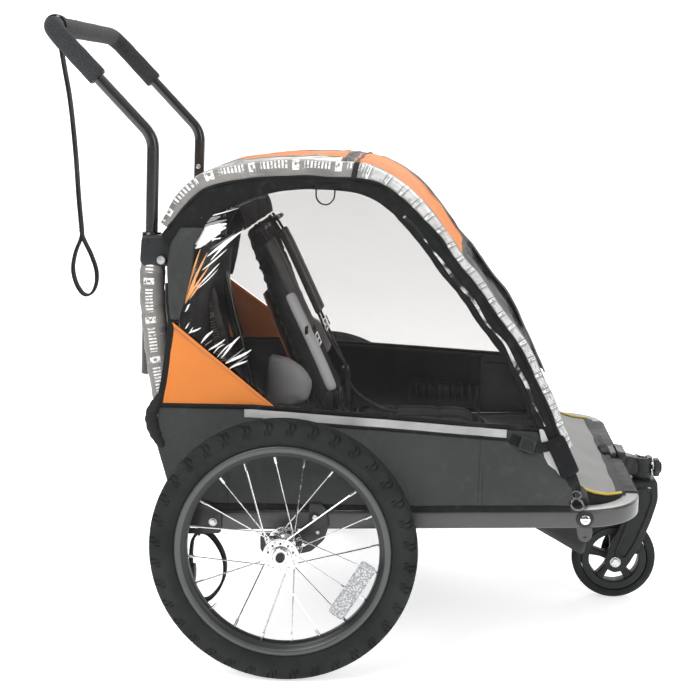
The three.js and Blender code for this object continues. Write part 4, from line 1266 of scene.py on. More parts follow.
def arm_block(x_start, x_end, low, high, corner):
    """box across the nose tube, slightly narrowed at its ends"""
    middle_x, middle_z = (x_start + x_end) / 2, (low + high) / 2
    stations = [-26, -24.4] + steps(-20, 20, 6) + [24.4, 26]
    return tube([pos(middle_x, y, middle_z) for y in stations],
                rounded((x_end - x_start) / 2, (high - low) / 2, corner, 4), up=UP,
                scale=pinch(9, .93, .93))


def caster_arm():
    """moulding clamped round the nose tube, with ribs and the swivel housing"""
    nose_z = rail_z(NOSE_X)
    housing = [(6.7, 217), (16.5, 217), (17.5, 218), (17.5, 226), (16.6, 227), (16.6, 242),
               (17.5, 243), (17.5, 250), (16.2, 252), (6.7, 252)]
    parts = [arm_block(504, 546, nose_z + 14.4, 259.2, 1.6),
             arm_block(504, 546, 220.6, nose_z - 14.4, .8),
             arm_block(504, 510.6, 221, 258.5, 2.5),
             arm_block(539.4, 546, 221, 258.5, 2.5),
             tube([pos(x, 0, 235.5) for x in steps(541, 577, 8)], rounded(14, 14.4, 3), up=UP),
             ring(housing, 44, SWIVEL, axis="Z"),
             solid([(6.9, 246), (6.9, 251.6)], 24, SWIVEL, axis="Z")]
    for k in range(6):
        parts.append(tube([pos(549 + k * 5.2, y, 250.2) for y in (-13, 0, 13)],
                          rounded(1.1, 1.5, .6, 2), up=UP))
    for end in (1, -1):
        for k in range(5):
            parts.append(tube([pos(x, end * (24 - k * 3.6), 259.8) for x in (508, 525, 542)],
                              rounded(.9, 1.3, .5, 2), up=UP))
    build("caster_arm_moulding", parts, "plastic", replaces="caster_arm")
    bolts = [socket_head(pos(x, end * 26.2, 254), end, 3.6, 2)
             for x in (512, 538) for end in (1, -1)]
    cap = [(8.5, 252), (8.8, 253), (8.2, 255.4), (4.2, 256.2)]
    build("arm_bolts", bolts + [solid(cap, 28, SWIVEL, axis="Z", tip=256.4)], "steel", auto=30)


def swivel_knob():
    """six-lobed knob in front of the swivel, on an axis along X"""
    centre = pos(603, 0, 233)
    segments, radius, lobe = 72, 15.2, 1.2
    # fraction of the radius, and mm along x
    profile = [(.05, -4.2), (.90, -4.4), (1, -3.2), (1, 3), (.94, 4.8), (.75, 5.6), (.5, 5),
               (.05, 4.8)]
    verts = []
    for angle in turn(segments):
        reach = radius + lobe * cos(angle * 6)
        for fraction, x in profile:
            offset = (x, reach * fraction * cos(angle), reach * fraction * sin(angle))
            verts.append(centre + Vector(offset) / 1000)
    faces = quads(segments, len(profile), rows_closed=True, width_closed=False)
    grip = (verts, faces + end_caps(segments, len(profile)), [(0, 0)] * len(verts))
    cap = [(9.4, 3), (10.4, 4.4), (10.2, 7.4), (8.6, 9)]
    build("swivel_knob_grip",
          [grip, solid([(4, -14), (4, -4)], 18, centre, axis="X"),
           solid(cap, 30, centre, axis="X", tip=9.6)],
          "plastic", "swivel_knob", replaces="swivel_lock_knob")
    build("swivel_knob_collar",
          [ring([(4.3, 18), (7.6, 18), (8, 19.2), (8, 20), (4.3, 20)], 26,
                pos(SWIVEL_X, 0, 233), axis="X")], "steel")


caster_wheel()
for side, sign in SIDES:
    fork_blade(side, sign)
fork_crown()
caster_arm()
swivel_knob()

# ---------------------------------------------------------------- roll cage and uprights
HINGE_TAB = [(438, 286), (424, 281), (436, 240), (440, 208), (447, 200), (456, 201), (462, 209),
             (462, 240), (452, 276)]
HANDLE_CLAMP = [(-236, 610), (-230, 603), (-178, 603), (-170, 620), (-174, 634), (-196, 651),
                (-232, 651)]
UPRIGHT_TOP = [(-185.5, 578), (-184, 540), (-177, 492), (-168, 440)]


def hoop_and_hinge(side, sign):
    sweep("hoop_tube_" + side, hoop_path(sign), circle(11, 22), "black", "roll_cage",
          replaces="side_hoop_" + side)
    plate("front_hinge_tab_" + side, round_poly(HINGE_TAB, 6), [circle(4.8, 18, *FRONT_PIVOT)],
          sign, 291.5, 296, "frame", "roll_cage", bevel=1.2,
          replaces="front_hinge_plate_" + side)
    foot = [lean(428, 293, sign), lean(431.5, 287, sign), pos(436, sign * 301, 277),
            pos(440, sign * 293.5, 268)]
    sweep("hinge_foot_" + side, foot, circle(7.4, 16), "frame", "roll_cage", rounding=1.5)


def handle_mount(side, sign):
    """clamp block, receiver tube, screws and lock pin"""
    plate("handle_clamp_block_" + side, round_poly(HANDLE_CLAMP, 9, 6), [], sign, 197, 238,
          "plastic", "roll_cage", bevel=4.5, replaces="handle_clamp_" + side)
    low, high = [pos(handle_x(z), sign * HANDLE_Y, z) for z in (430, 652)]
    along = (high - low).normalized()
    collar = [high + along * shift for shift in (-.014, -.013, .0006, .002)]
    build("handle_receiver_tube_" + side,
          [tube([low.lerp(high, t) for t in steps(0, 1, 6)], circle(12.5, 26)),
           tube(collar, circle(14.8, 26), scale=pinch(3, .93, .93))],
          ["black", "plastic"], "roll_cage", replaces="handle_receiver_" + side)
    build("clamp_screws_" + side,
          [socket_head(pos(x, sign * 237.8, z), sign, 3.2, 2)
           for x, z in ((-184, 612), (-224, 642))], "bracket", "roll_cage", auto=30)
    pin = [(3.4, 234), (3.4, 242), (6.6, 242), (7, 242.6), (7, 247.6), (6.2, 248.8)]
    build("lock_pin_head_" + side, [solid(pin, 26, pos(-200, 0, 614), sign, tip=249)],
          "steel", "lock_pin_" + side, auto=35, replaces="frame_lock_pin_" + side)


def rear_upright(side, sign):
    line = [lean(x, z, sign) for x, z in UPRIGHT_TOP] + [lean(-158, 395, sign, -1)]
    line += [pos(x, sign * 289, z) for x, z in ((-142, 320), (-124, 262), (-113, 232))]
    boss = [(4.8, 280), (13, 280), (14, 281), (14, 298), (13, 299), (4.8, 299)]
    build("rear_upright_tube_" + side,
          [tube(catmull(line, 60), circle(9.8)),
           ring(boss, 36, pos(REAR_PIVOT[0], 0, REAR_PIVOT[1]), sign)],
          "black", "rear_uprights", replaces="rear_upright_" + side)


def spreader(tag, x, z):
    """cross bar between the hoops, arched by 18 mm"""
    half = lean_y(z) - 13.6
    sweep("spreader_%s_tube" % tag,
          [pos(x, t * half, z + 18 * (1 - t * t)) for t in steps(-1, 1, 40)],
          circle(8, 18), "black", "roll_cage", replaces="spreader_bar_" + tag)


for side, sign in SIDES:
    hoop_and_hinge(side, sign)
    handle_mount(side, sign)
    rear_upright(side, sign)
spreader("front", 88, 727)
spreader("rear", -100, 706)

# ---------------------------------------------------------------- push handle
FOAM_REACH = .106                    # metres of foam down each leg from the cross bar's corner
WRIST_Y = -169.5
# x, z of the wrist strap's run down from the grip, and of the loop at its end
WRIST_RUN = [(-367, 952.4), (-360.5, 905), (-354, 860), (-348, 780), (-345, 700), (-342.2, 652),
             (-342, 640)]
WRIST_LOOP = [(-342, 644), (-338, 634), (-328, 612), (-320.5, 585), (-323, 562), (-332, 549),
              (-341, 548.5), (-352, 562), (-358.5, 589), (-353, 618), (-345, 636), (-342.6, 644)]


def push_handle():
    bend_x, bend_z = HANDLE_BEND
    grip_x, grip_z = GRIP
    right = [pos(handle_x(500), -HANDLE_Y, 500), pos(bend_x, -HANDLE_Y, bend_z),
             pos(grip_x, -HANDLE_Y, grip_z)]
    left = [Vector((p.x, -p.y, p.z)) for p in reversed(right)]
    sweep("handle_tube", fillet(right + left, [.046, .03, .03, .046], 18), circle(9.6, 26),
          "handle", "push_handle", replaces="handle_bar")
    down = (pos(bend_x, 0, bend_z) - pos(grip_x, 0, grip_z)).normalized()
    ends = [corner + down * FOAM_REACH for corner in (right[-1], left[0])]
    path = resample(fillet([ends[0], right[-1], left[0], ends[1]], [.03, .03], 14), 90)
    sweep("foam_sleeve", path, circle(14.9, 32), "foam", "push_handle", rounding=2.4, auto=50,
          replaces="foam_grip",
          scale=uniform(lambda i: 1 + .012 * sin(i * 1.3) + .01 * sin(i * .37 + 1)))
    collars = [tube([end - down * .001, end + down * .0008, end + down * .0022],
                    circle(14.2, 28), scale=pinch(2, .92, .92) if False else
                    (lambda i: (1, 1) if i < 2 else (.92, .92))) for end in ends]
    build("foam_end_collars", collars, "plastic", "push_handle")
    button = [(4.2, 201), (4.2, 199.4), (3, 198.4)]
    build("handle_buttons",
          [solid(button, 20, pos(handle_x(z), 0, z), sign, tip=198.2)
           for sign in (-1, 1) for z in (700, 735)], "steel", "push_handle", auto=30)


def wrist_strap():
    centre = pos(GRIP[0], WRIST_Y, GRIP[1])
    wrap = [pos(GRIP[0] + 16.9 * cos(a), WRIST_Y, GRIP[1] + 16.9 * sin(a)) for a in turn(48)]
    run = catmull([pos(x, WRIST_Y, z) for x, z in WRIST_RUN], 50)
    loop = catmull([pos(x, WRIST_Y, z) for x, z in WRIST_LOOP], 70)
    build("wrist_strap_web",
          [tube(wrap, rounded(9.3, .9, .7, 2), up=[(p - centre).normalized() for p in wrap],
                closed=True),
           tube(run, rounded(8.6, 2.0, 1.0), up=face_normals(run)),
           tube(loop, rounded(8.6, 1.6, 1.0), up=face_normals(loop))],
          "web", "wrist_strap", auto=50, clean=False, replaces="wrist_strap")
    tacks = [tube([pos(-345.6, y, 652 + k * 5) for y in (-176.4, -162.6)], circle(.55, 6))
             for k in range(4)]
    build("wrist_strap_tack", tacks, "thread_dark", "wrist_strap", auto=None, clean=False)


push_handle()
wrist_strap()


# ---------------------------------------------------------------- padded pieces
def coords(mesh):
    flat = np.zeros(len(mesh.vertices) * 3, np.float32)
    mesh.vertices.foreach_get("co", flat)
    return flat.reshape(-1, 3)


def set_coords(mesh, places):
    mesh.vertices.foreach_set("co", places.astype(np.float32).ravel())
    mesh.update()


CLOTH = dict(quality=4, mass=.3, use_pressure=True, tension_stiffness=12,
             compression_stiffness=12, shear_stiffness=6, bending_stiffness=.4)
CLOTH_FRAMES = 18


def inflate(obj, voxel, pressure, cap):
    """the cover swells over its filling; no point moves further than cap metres"""
    add_modifier(obj, "REMESH", mode="VOXEL", voxel_size=voxel)
    bake(obj)
    rest = coords(obj.data)
    scene = bpy.context.scene
    scene.frame_start, scene.frame_end = 1, CLOTH_FRAMES + 2
    scene.frame_set(1)
    cloth = obj.modifiers.new("Cloth", "CLOTH")
    for key, value in CLOTH.items():
        setattr(cloth.settings, key, value)
    cloth.settings.uniform_pressure_force = pressure
    cloth.settings.effector_weights.gravity = 0
    cloth.collision_settings.use_collision = False
    cloth.point_cache.frame_start, cloth.point_cache.frame_end = 1, CLOTH_FRAMES + 2
    for i in range(1, CLOTH_FRAMES + 1):
        scene.frame_set(i)
    mesh = evaluated_mesh(obj)
    swollen = coords(mesh)
    obj.modifiers.clear()
    scene.frame_set(1)
    if len(swollen) == len(rest):
        travel = swollen - rest
        length = np.linalg.norm(travel, axis=1)[:, None] + 1e-9
        set_coords(mesh, rest + travel * np.minimum(1, cap / length))
    obj.data = mesh
    add_modifier(obj, "SUBSURF", levels=1, render_levels=1)
    bake(obj)
    obj.data.polygons.foreach_set("use_smooth", [True] * len(obj.data.polygons))


def slab(name, line, half_widths, thick, mat, columns, **joins):
    """closed padded slab about a centre line in the x-z plane"""
    count = len(line)
    _, sides, across = frames(line, Y_AXIS)
    profile = [(t * face, face) for face in (1, -1) for t in steps(-1, 1, columns)]
    width = len(profile)
    verts = []
    for i, point in enumerate(line):
        end = min(1, (min(i, count - 1 - i) + .35) / 1.5) ** .5
        for t, face in profile:
            height = thick / 2 * max(0.0, 1 - abs(t) ** 6) ** .5 * end * face
            verts.append(point + across[i] * (half_widths[i] * t / 1000)
                         + sides[i] * (height / 1000))
    last = (count - 1) * width
    faces = quads(count, width)
    faces += [tuple(range(width))[::-1], tuple(range(last, last + width))]
    obj = make(name, verts, faces, mat, **joins)
    fix_normals(obj.data)
    return obj


def channel(values, middle, half_width):
    """bell-shaped groove, 1 deep at the middle"""
    return np.exp(-((values - middle) / half_width) ** 2)


# ---------------------------------------------------------------- seat
def seat_cushion():
    line = [pos(74 + 232 * t, 0, 283 + 4 * sin(t * pi)) for t in steps(.03, .97, 20)]
    pad = slab("seat_cushion_pad", line, [190] * 20, 20, "blackpad", 14,
               replaces="seat_cushion")
    inflate(pad, voxel=.0065, pressure=4.0, cap=.007)
    low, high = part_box("seat_cushion")
    places = coords(pad.data).astype(float)
    x = (places[:, 0] - AXLE_X) * 1000
    y = places[:, 1] * 1000
    on_top = np.clip((places[:, 2] - .283) / .008, 0, 1)
    depth = np.zeros(len(places))
    for middle, deep in ((0, 6.0), (-66, 4.0), (66, 4.0), (-132, 4.0), (132, 4.0)):
        depth += channel(y, middle, 4.2) * deep
    for middle in (150, 228):
        depth += channel(x, middle, 4.2) * 3.6
    places[:, 2] -= np.minimum(depth, 7) * on_top / 1000
    places[:, 2] = np.clip(places[:, 2], low.z - .0005, high.z + .007)
    set_coords(pad.data, places)
    edge = round_poly([(78, -193), (302, -193), (302, 193), (78, 193)], 18, 6)
    build("seat_cushion_piping",
          [tube([pos(x, y, 288) for x, y in edge], circle(2.1, 8), closed=True)],
          "piping", clean=False)


BACK_FOOT_Z = 296
BACK_HEIGHT = 371
BACK_X, BACK_Z = .928, .373          # x and z of the seat back's forward normal
BACK_NORMAL = Vector((BACK_X, 0, BACK_Z))


def back_x(t):
    """x of the seat back's bowed centre line at fraction t of its height"""
    return 66 - 149.5 * t - 7 * np.sin(np.clip(t, 0, 1) * pi)


def seat_back():
    line = [pos(back_x(t), 0, BACK_FOOT_Z + BACK_HEIGHT * t) for t in steps(.02, .985, 26)]
    pad = slab("seat_back_pad", line, [188 - 6 * t for t in steps(0, 1, 26)], 7, "blackpad", 16,
               replaces="seat_back", fold=True)
    inflate(pad, voxel=.0065, pressure=3.2, cap=.0045)
    places = coords(pad.data).astype(float)
    x = (places[:, 0] - AXLE_X) * 1000
    y = places[:, 1] * 1000
    t = (places[:, 2] * 1000 - BACK_FOOT_Z) / BACK_HEIGHT
    depth = np.zeros(len(places))
    for middle in (0, -150, 150):
        depth += channel(y, middle, 4) * 2.6
    for middle in (.2, .4, .6, .8):
        depth += channel(t * BACK_HEIGHT, middle * BACK_HEIGHT, 4) * 2.0
    places[:, 0] -= np.sign(x - back_x(t)) * depth * BACK_X / 1000
    set_coords(pad.data, places)


def seat_insert(side, sign):
    """brown panel behind the seat back"""
    offset = -9.5
    rows = []
    for t in steps(.22, .70, 24):
        x, z = back_x(t), BACK_FOOT_Z + BACK_HEIGHT * t
        rows.append([pos(x + offset * BACK_X + wrinkle(y, z, 0, .03, 1.5, 3 + sign), y,
                         z + offset * BACK_Z)
                     for y in steps(*sorted((sign * 20, sign * 172)), 16)])
    grid("seat_insert_" + side, rows, "brown", thick=1.2, fold=True)


def on_back(t, y, offset):
    """a point offset mm in front of the harness line"""
    return pos(34 - 106 * t + offset * BACK_X, y, 400 + 262 * t + offset * BACK_Z)


def harness(side, sign):
    strap = rounded(12, .8, .7, 2)
    shoulders = (72, 116)            # y of each seat's two shoulder straps
    webs = []
    for y, end_y in zip(shoulders, (76, 112)):
        stations = [(.985, y, -1), (.9, y, 5), (.7, (y + end_y) / 2, 9),
                    (.4, (y + end_y) / 2, 12), (.1, end_y, 15), (-.12, 94, 22)]
        line = catmull([on_back(t, sign * at, offset) for t, at, offset in stations], 60)
        webs.append(tube(line, strap, up=BACK_NORMAL))
    crotch = ((180, 297), (120, 312), (78, 340), (62, 368))
    webs.append(tube(catmull([pos(x, sign * 94, z) for x, z in crotch], 30), strap,
                     up=Vector((.6, 0, .8))))
    lap = ((64, 180, 300), (68, 150, 330), (66, 118, 358), (62, 94, 368), (66, 70, 358),
           (68, 38, 330), (64, 8, 300))
    webs.append(tube(catmull([pos(x, sign * y, z) for x, y, z in lap], 60), strap,
                     up=Vector((.9, 0, .4))))
    build("harness_web_" + side, webs, "web", auto=50, clean=False, fold=True,
          replaces="harness_" + side)
    stations = ((.86, 8), (.75, 10.5), (.6, 12.5), (.45, 14), (.32, 15.5))
    pads = [tube(catmull([on_back(t, sign * y, offset) for t, offset in stations], 26),
                 rounded(17, 5.2, 4.6, 4), up=BACK_NORMAL, rounding=4) for y in shoulders]
    build("harness_pads_" + side, pads, "greypad", auto=60, fold=True)
    buckles = [tube([pos(60, sign * 94, z) for z in (352, 356, 380, 384)],
                    rounded(19, 6.5, 4, 4), up=BACK_NORMAL, scale=pinch(3, .82, .8)),
               solid([(9, 66), (9.4, 67), (8.4, 68.6)], 24, pos(0, sign * 94, 368), axis="X",
                     tip=69)]
    for y in shoulders:
        place = on_back(.95, sign * y, 6)
        buckles.append(tube([place + Vector((0, t, 0)) for t in (-.016, -.006, .006, .016)],
                            rounded(3.6, 8, 2), up=BACK_NORMAL))
    build("harness_buckles_" + side, buckles, "plastic", auto=45, fold=True)
    wires = []
    for y in shoulders:
        place = on_back(.22, sign * y, 16.5)

        def wire_point(across, rise):
            return place + Vector((-rise * .00038, across, rise * .00092))
        for rise in (-9, 0, 9):
            wires.append(tube([wire_point(end * .0165, rise) for end in (-1, 1)],
                              circle(1.4, 8)))
        for end in (-1, 1):
            wires.append(tube([wire_point(end * .0165, rise) for rise in (-10, 10)],
                              circle(1.4, 8)))
    build("harness_adjusters_" + side, wires, "chrome", clean=False, fold=True)


BOLSTER = [(-48, 388), (-42, 436), (-40, 464), (-6, 456), (16, 440), (30, 418), (22, 388),
           (-10, 380), (-36, 380)]

seat_cushion()
seat_back()
for side, sign in SIDES:
    seat_insert(side, sign)
for side, sign in SIDES:
    harness(side, sign)
# rolled cover beside the right end of the seat back, and its tie
rolled = [(-2, -216, 552), (20, -222, 506), (42, -230, 460), (60, -238, 420)]
sweep("rolled_cover_tube", catmull([pos(*point) for point in rolled], 30), circle(8.2, 18),
      "tubepad", rounding=8, fold=True)
sweep("rolled_cover_tie",
      [pos(22, -222.5 + 9.3 * cos(a), 503 + 9.3 * sin(a)) for a in steps(0, 6.1, 24)],
      rounded(2.5, .7, .5, 2), "web", fold=True)
for side, sign in SIDES:
    pad = plate("side_bolster_" + side, round_poly(BOLSTER, 10, 6), [], sign, 200, 222,
                "bolster", bevel=2, fold=True)
    inflate(pad, voxel=.006, pressure=3.5, cap=.006)
# sling from the top of the seat back to the rear roof bar
rows = []
for t in steps(0, 1, 14):
    x, z = -80 - 17 * t, 655 + 45 * t
    rows.append([pos(x + wrinkle(y, z, 0, .03, 2.4, 31) + 4 * sin(t * pi), y,
                     z + 15 * t * (1 - (y / 190) ** 2))
                 for y in steps(-186 + 4 * t, 186 - 4 * t, 40)])
grid("seat_top_sling", rows, "blackpad", fold=True)

# ---------------------------------------------------------------- floor, rear and front covers
# x, z of the floor along the middle, with the foot well in front
FLOOR = [(-150, 250), (-112, 247.5), (312, 247.5), (326, 226), (360, 205), (400, 184),
         (440, 160), (458, 151), (468, 208), (504, 220)]
FLOOR_FRONT_X = [305, 312, 320, 328, 336, 344, 360, 380, 400, 420, 436, 444, 450, 455, 459, 462,
                 466, 474, 486, 500]
# z, x of the rear cover
REAR = [(262, -178), (300, -190), (350, -203), (390, -205), (430, -206), (480, -203),
        (530, -199), (570, -194), (600, -190)]
# x, z of the front cover
FRONT = [(404, 312), (422, 304), (440, 293), (470, 277), (514, 259)]
FRONT_COLUMNS = 57


def floor_panel():
    rows = []
    for x in steps(-148, 300, 26) + FLOOR_FRONT_X:
        row = []
        base_z = interp(FLOOR, x)
        half = 300 if x < 300 else 300 - 30 * ease(300, 336, x)
        for t in steps(-1, 1, 41):
            y, edge = t * half, ease(.86, 1, abs(t))
            rise = edge * (6 if x < 300 else max(0, 238 - base_z))
            crumple = wrinkle(x, y, 0, .02, 1.2 if x < 300 else 4, 2) * (1 - edge)
            row.append(pos(x, y, base_z + rise + crumple))
        rows.append(row)
    grid("floor_sheet", rows, "blackfab", replaces="floor_panel")


def rear_cover():
    """rear wall, wrapped round the uprights towards the side panels"""
    rows = []
    for z in steps(262, 600, 44):
        row = []
        for t in steps(-1, 1, 57):
            y, wrap = t * (lean_y(z) + 11), ease(.80, 1.0, abs(t))
            x = interp(REAR, z) + wrap * 26 * ease(250, 300, z)
            x += wrinkle(y, z, 0, .014, 4.5, 5) * (1 - wrap * .6)
            x += 1.6 * sin(z * .045 + y * .01) * (1 - wrap)
            by_handle = z > 400 and 180 < abs(y) < 232
            row.append(pos(max(x, -214 if by_handle else -220), y, z))
        rows.append(row)
    grid("rear_cover_sheet", rows, "blackfab", replaces="rear_cover", fold=True)


def rear_pouch():
    """pouch that bulges behind the rear wall, with a bound top edge"""
    rows = []
    for t, z in zip(steps(0, 1, 26), steps(300, 452, 26)):
        row = []
        for across in steps(-1, 1, 41):
            y = across * 172
            bulge = (1 - abs(across) ** 5) ** .6
            bulge *= sin(min(1, t * 1.5 + .02) * pi * .5) * (1 - .55 * t)
            x = interp(REAR, z) - 3 - 26 * bulge * (1 if t < .96 else .8)
            row.append(pos(x + wrinkle(y, z, 0, .03, 2.2, 7) * bulge, y, z))
        rows.append(row)
    grid("rear_pouch", rows, "dark", thick=1.8, fold=True)
    edge = [point + Vector((-.0012, 0, .001)) for point in rows[-1]]
    sweep("rear_pouch_binding", resample(edge, 50), rounded(1.6, 4.5, 1.4, 2), "piping",
          up=Vector((-1, 0, 0)), fold=True)


def front_cover():
    """mesh panel from the hoop feet to the nose, bound in black; returns its points"""
    rows = []
    for t in steps(0, 1, 30):
        x = 404 + 116 * t
        base_z = interp(FRONT, x) if x < 514 else 263 - (x - 514) * .8
        half = 268 + 4 * sin(t * 3) - 22 * t ** 3
        row = []
        for across in steps(-1, 1, FRONT_COLUMNS):
            y, edge = across * half, ease(.86, 1, abs(across))
            sag = 5 * sin(t * pi) * cos(across * pi / 2) ** .7
            drop = (21 * (1 - t) ** .8 + 4) * ease(.30, 1, abs(across)) ** 1.2
            z = base_z - sag - drop + wrinkle(x, y, 3, .018, 3.2, 4) * (1 - edge)
            row.append(pos(x + wrinkle(y, x, 0, .02, 2.0, 9) - edge * 2, y,
                           max(z, 258 if x > 480 else 250)))
        rows.append(row)

    def bound(i, j):
        along, across = i / 29, (j + .5) / (FRONT_COLUMNS - 1)
        return int(along > .84 or along < .12 or abs(across - .5) > .485)
    grid("front_cover_sheet", rows, ["mesh", "blackfab", "dark"], face_mat=bound,
         replaces="front_cover", fold=True)
    return rows


def front_cover_side(side, sign, rows):
    """piping down the cover's side edge, and a skirt from there to the rail"""
    edge = [row[0 if sign < 0 else -1] for row in rows]
    piping = [point + Vector((0, sign * .0012, .0012)) for point in edge[2:28]]
    sweep("front_cover_piping_" + side, resample(piping, 50), circle(2.2, 10), "yellow",
          rounding=1, fold=True)
    skirt = []
    for point in edge:
        x, y, z = to_mm(point)
        foot = rail_z(min(x, 500)) + 4
        row = []
        for k in range(9):
            t = k / 8
            bulge = 18 * sin(t * pi / 2) * (1 if x < 470 else .6)
            row.append(pos(x - 4 * t + wrinkle(x, k * 9, 1, .04, 1.8, 2 + sign),
                           y + sign * bulge, z + (foot - z) * t if foot < z else z - .4 * k))
        skirt.append(row)
    grid("front_skirt_" + side, skirt, "blackfab", thick=1.4, fold=True)


floor_panel()
rear_cover()
rear_pouch()
front_rows = front_cover()
for side, sign in SIDES:
    front_cover_side(side, sign, front_rows)
for side, sign in SIDES:
    sweep("nose_wrap_" + side,
          [on_rail(NOSE_X, y) for y in steps(*sorted((sign * 34, sign * 238)), 60)],
          rounded(15.6, 15.6, 6, 4), "blackfab", up=UP, rounding=1,
          scale=lambda i: (1 + .02 * sin(i * .9), 1 + .02 * sin(i * .7 + 1)))

# ---------------------------------------------------------------- side panels
# x, z of the panel's lower and upper edge
PANEL_LOW = [(-203, 347), (-182, 282), (-150, 257), (-110, 247), (200, 248), (428, 253)]
PANEL_HIGH = [(-203, 352), (-198, 396), (-54, 396), (200, 380), (378, 368), (404, 338),
              (428, 300)]
SEAM_X = (-92, 145, 292)


def side_panel(side, sign):
    flat = Vector((0, sign, 0))

    def offset(x, z, v, u=0):
        arch = sin(v * pi)
        out = 14.6 + 3.6 * arch ** .8 * ease(-200, -120, x)
        out += wrinkle(x, z, 0, .010, 2.2, 5 + sign)
        out += wrinkle(x, z * .35, 0, .035, 2.0, 9 + sign) * arch
        for seam_x, depth in zip(SEAM_X, (1.4, 1.6, 1.6)):
            out -= depth * exp(-((x - seam_x) / 3) ** 2)
        if x > 300:                  # drape folds near the front
            out += 2.6 * sin((x * .7 + z * 1.1) * .055) * ease(300, 350, x) * arch
        return min(out, 332.4 - lean_y(z) if z < 268 else 99)

    def on_edge(table, xs, rise, v, lift):
        """a line parallel to the upper or lower edge"""
        points = []
        for x in xs:
            z = interp(table, x)
            points.append(lean(x, z + rise, sign, offset(x, z, v) + lift))
        return points

    xs = [-203, -201, -198] + steps(-194, 428, 110)
    lean_panel("side_panel_sheet_" + side, xs, PANEL_LOW, PANEL_HIGH, offset, sign, "dark",
               rows=36, thick=1.6, replaces="side_panel_" + side)
    lean_panel("side_lining_" + side, [x for x in xs[4:] if x < 318],
               [(x, z + 2) for x, z in PANEL_LOW], [(x, z - 2) for x, z in PANEL_HIGH],
               lambda x, z, v, u: offset(x, z, v) - 4.2, sign, "satin", rows=20, thick=1.0)
    for k, x in enumerate(SEAM_X):
        low, high = interp(PANEL_LOW, x) + 4, interp(PANEL_HIGH, x) - 14
        line = [lean(x + (z - 300) * .03, z, sign, offset(x, z, (z - low) / (high - low)) + 1.6)
                for z in steps(low, high, 30)]
        stitches("panel_seam_thread_%d_%s" % (k, side), line, flat, shift=3.2, lift=.2,
                 pitch=4.6, length=2.8, mat="thread_dark", slot="dark_fabric")
        sweep("panel_seam_%d_%s" % (k, side), line, rounded(2.4, 1.0, .9, 2), "dark", up=flat)
    sweep("sill_tape_" + side,
          on_edge(PANEL_HIGH, steps(-66, 330, 60), rise=-7.5, v=.94, lift=2.4),
          rounded(6.2, .8, .7, 2), "tape", up=Vector((0, sign, .22)), auto=60)
    for tag, start, rise, radius in (("upper", -196, 2.5, 3.2), ("lower", -44, -17.0, 1.8)):
        sweep("sill_piping_%s_%s" % (tag, side),
              on_edge(PANEL_HIGH, steps(start, 378, 70), rise=rise, v=.95, lift=2.0),
              circle(radius, 10), "piping", rounding=1)
    hem = []
    for x in steps(-150, 426, 60):
        z = interp(PANEL_LOW, x) + 3.5
        hem.append(lean(x, z, sign, offset(x, z, .03) + .6))
    sweep("bottom_hem_" + side, hem, rounded(4.5, 1.3, 1.2, 2), "piping", up=flat)
    front = [lean(x, z, sign, 16.4) for x, z in ((379, 366), (404, 336), (429, 298), (427, 258))]
    sweep("panel_front_binding_" + side, catmull(front, 30), rounded(3.2, 1.4, 1.2, 2),
          "piping", up=flat)


def inner_pocket(side, sign):
    """gathered pocket with an elastic top, inside the side panel"""
    rows = []
    for i, x in enumerate(steps(168, 306, 56)):
        row = []
        for t in steps(0, 1, 16):
            gathers = 2.6 * sin(x * .42 + t * 1.5) + 1.8 * sin(x * .93 + 1 - t * 2)
            puff = sin(min(1, t * 1.15) * pi) ** .7 * 8 + gathers * ease(.1, .9, t)
            puff *= max(0, sin(i / 55 * pi)) ** .5
            row.append(lean(x, 262 + 54 * t - (x - 168) * .05, sign, 8 - puff))
        rows.append(row)
    grid("inner_pocket_" + side, rows, "satin", thick=1.4)
    sweep("inner_pocket_elastic_" + side, resample([row[-1] for row in rows], 60),
          circle(2.6, 8), "piping", rounding=1)


for side, sign in SIDES:
    side_panel(side, sign)
for side, sign in SIDES:
    inner_pocket(side, sign)

# ---------------------------------------------------------------- stations along the hoops
STATIONS = 160
# unit vector square to each hoop's plane, pointing out of the cabin
HOOP_OUT = {sign: Vector((0, sign, LEAN)).normalized() for sign in (-1, 1)}


def hoop_stations(sign):
    """(point, normal in the hoop's plane pointing away from the cabin) along the hoop"""
    points = hoop_path(sign, STATIONS)
    inside = lean(60, 450, sign)
    stations = []
    for i, point in enumerate(points):
        tangent = points[min(i + 1, STATIONS - 1)] - points[max(i - 1, 0)]
        normal = HOOP_OUT[sign].cross(tangent.normalized()).normalized()
        if normal.dot(point - inside) < 0:
            normal = -normal
        stations.append((point, normal))
    return stations


HOOPS = {sign: hoop_stations(sign) for sign in (-1, 1)}


def hoop_index(x, z):
    def distance(i):
        here = to_mm(HOOPS[-1][i][0])
        return (here[0] - x) ** 2 + (here[2] - z) ** 2
    return min(range(STATIONS), key=distance)


def hoop_strip(name, sign, section, start, end, mats, thick, amount, frequency, seed,
               face_mat=None):
    """strip along the hoop; section(t, x, z) gives (in-plane, sideways) pairs in mm"""
    rows, uvs, run = [], [], 0
    for i in range(start, end):
        point, normal = HOOPS[sign][i]
        x, _, z = to_mm(point)
        pairs = section(i / (STATIONS - 1), x, z)
        if i > start:
            run += (point - HOOPS[sign][i - 1][0]).length
        row = []
        for j, (rise, out) in enumerate(pairs):
            crumple = wrinkle(x + j * 3, z, j * 4, frequency, amount, seed + sign)
            row.append(point + normal * ((rise + crumple * .5) / 1000)
                       + HOOP_OUT[sign] * ((out + crumple) / 1000))
            uvs.append((run, j / (len(pairs) - 1)))
        rows.append(row)
    grid(name, rows, mats, "roll_cage", thick, uvs, face_mat)
    return rows


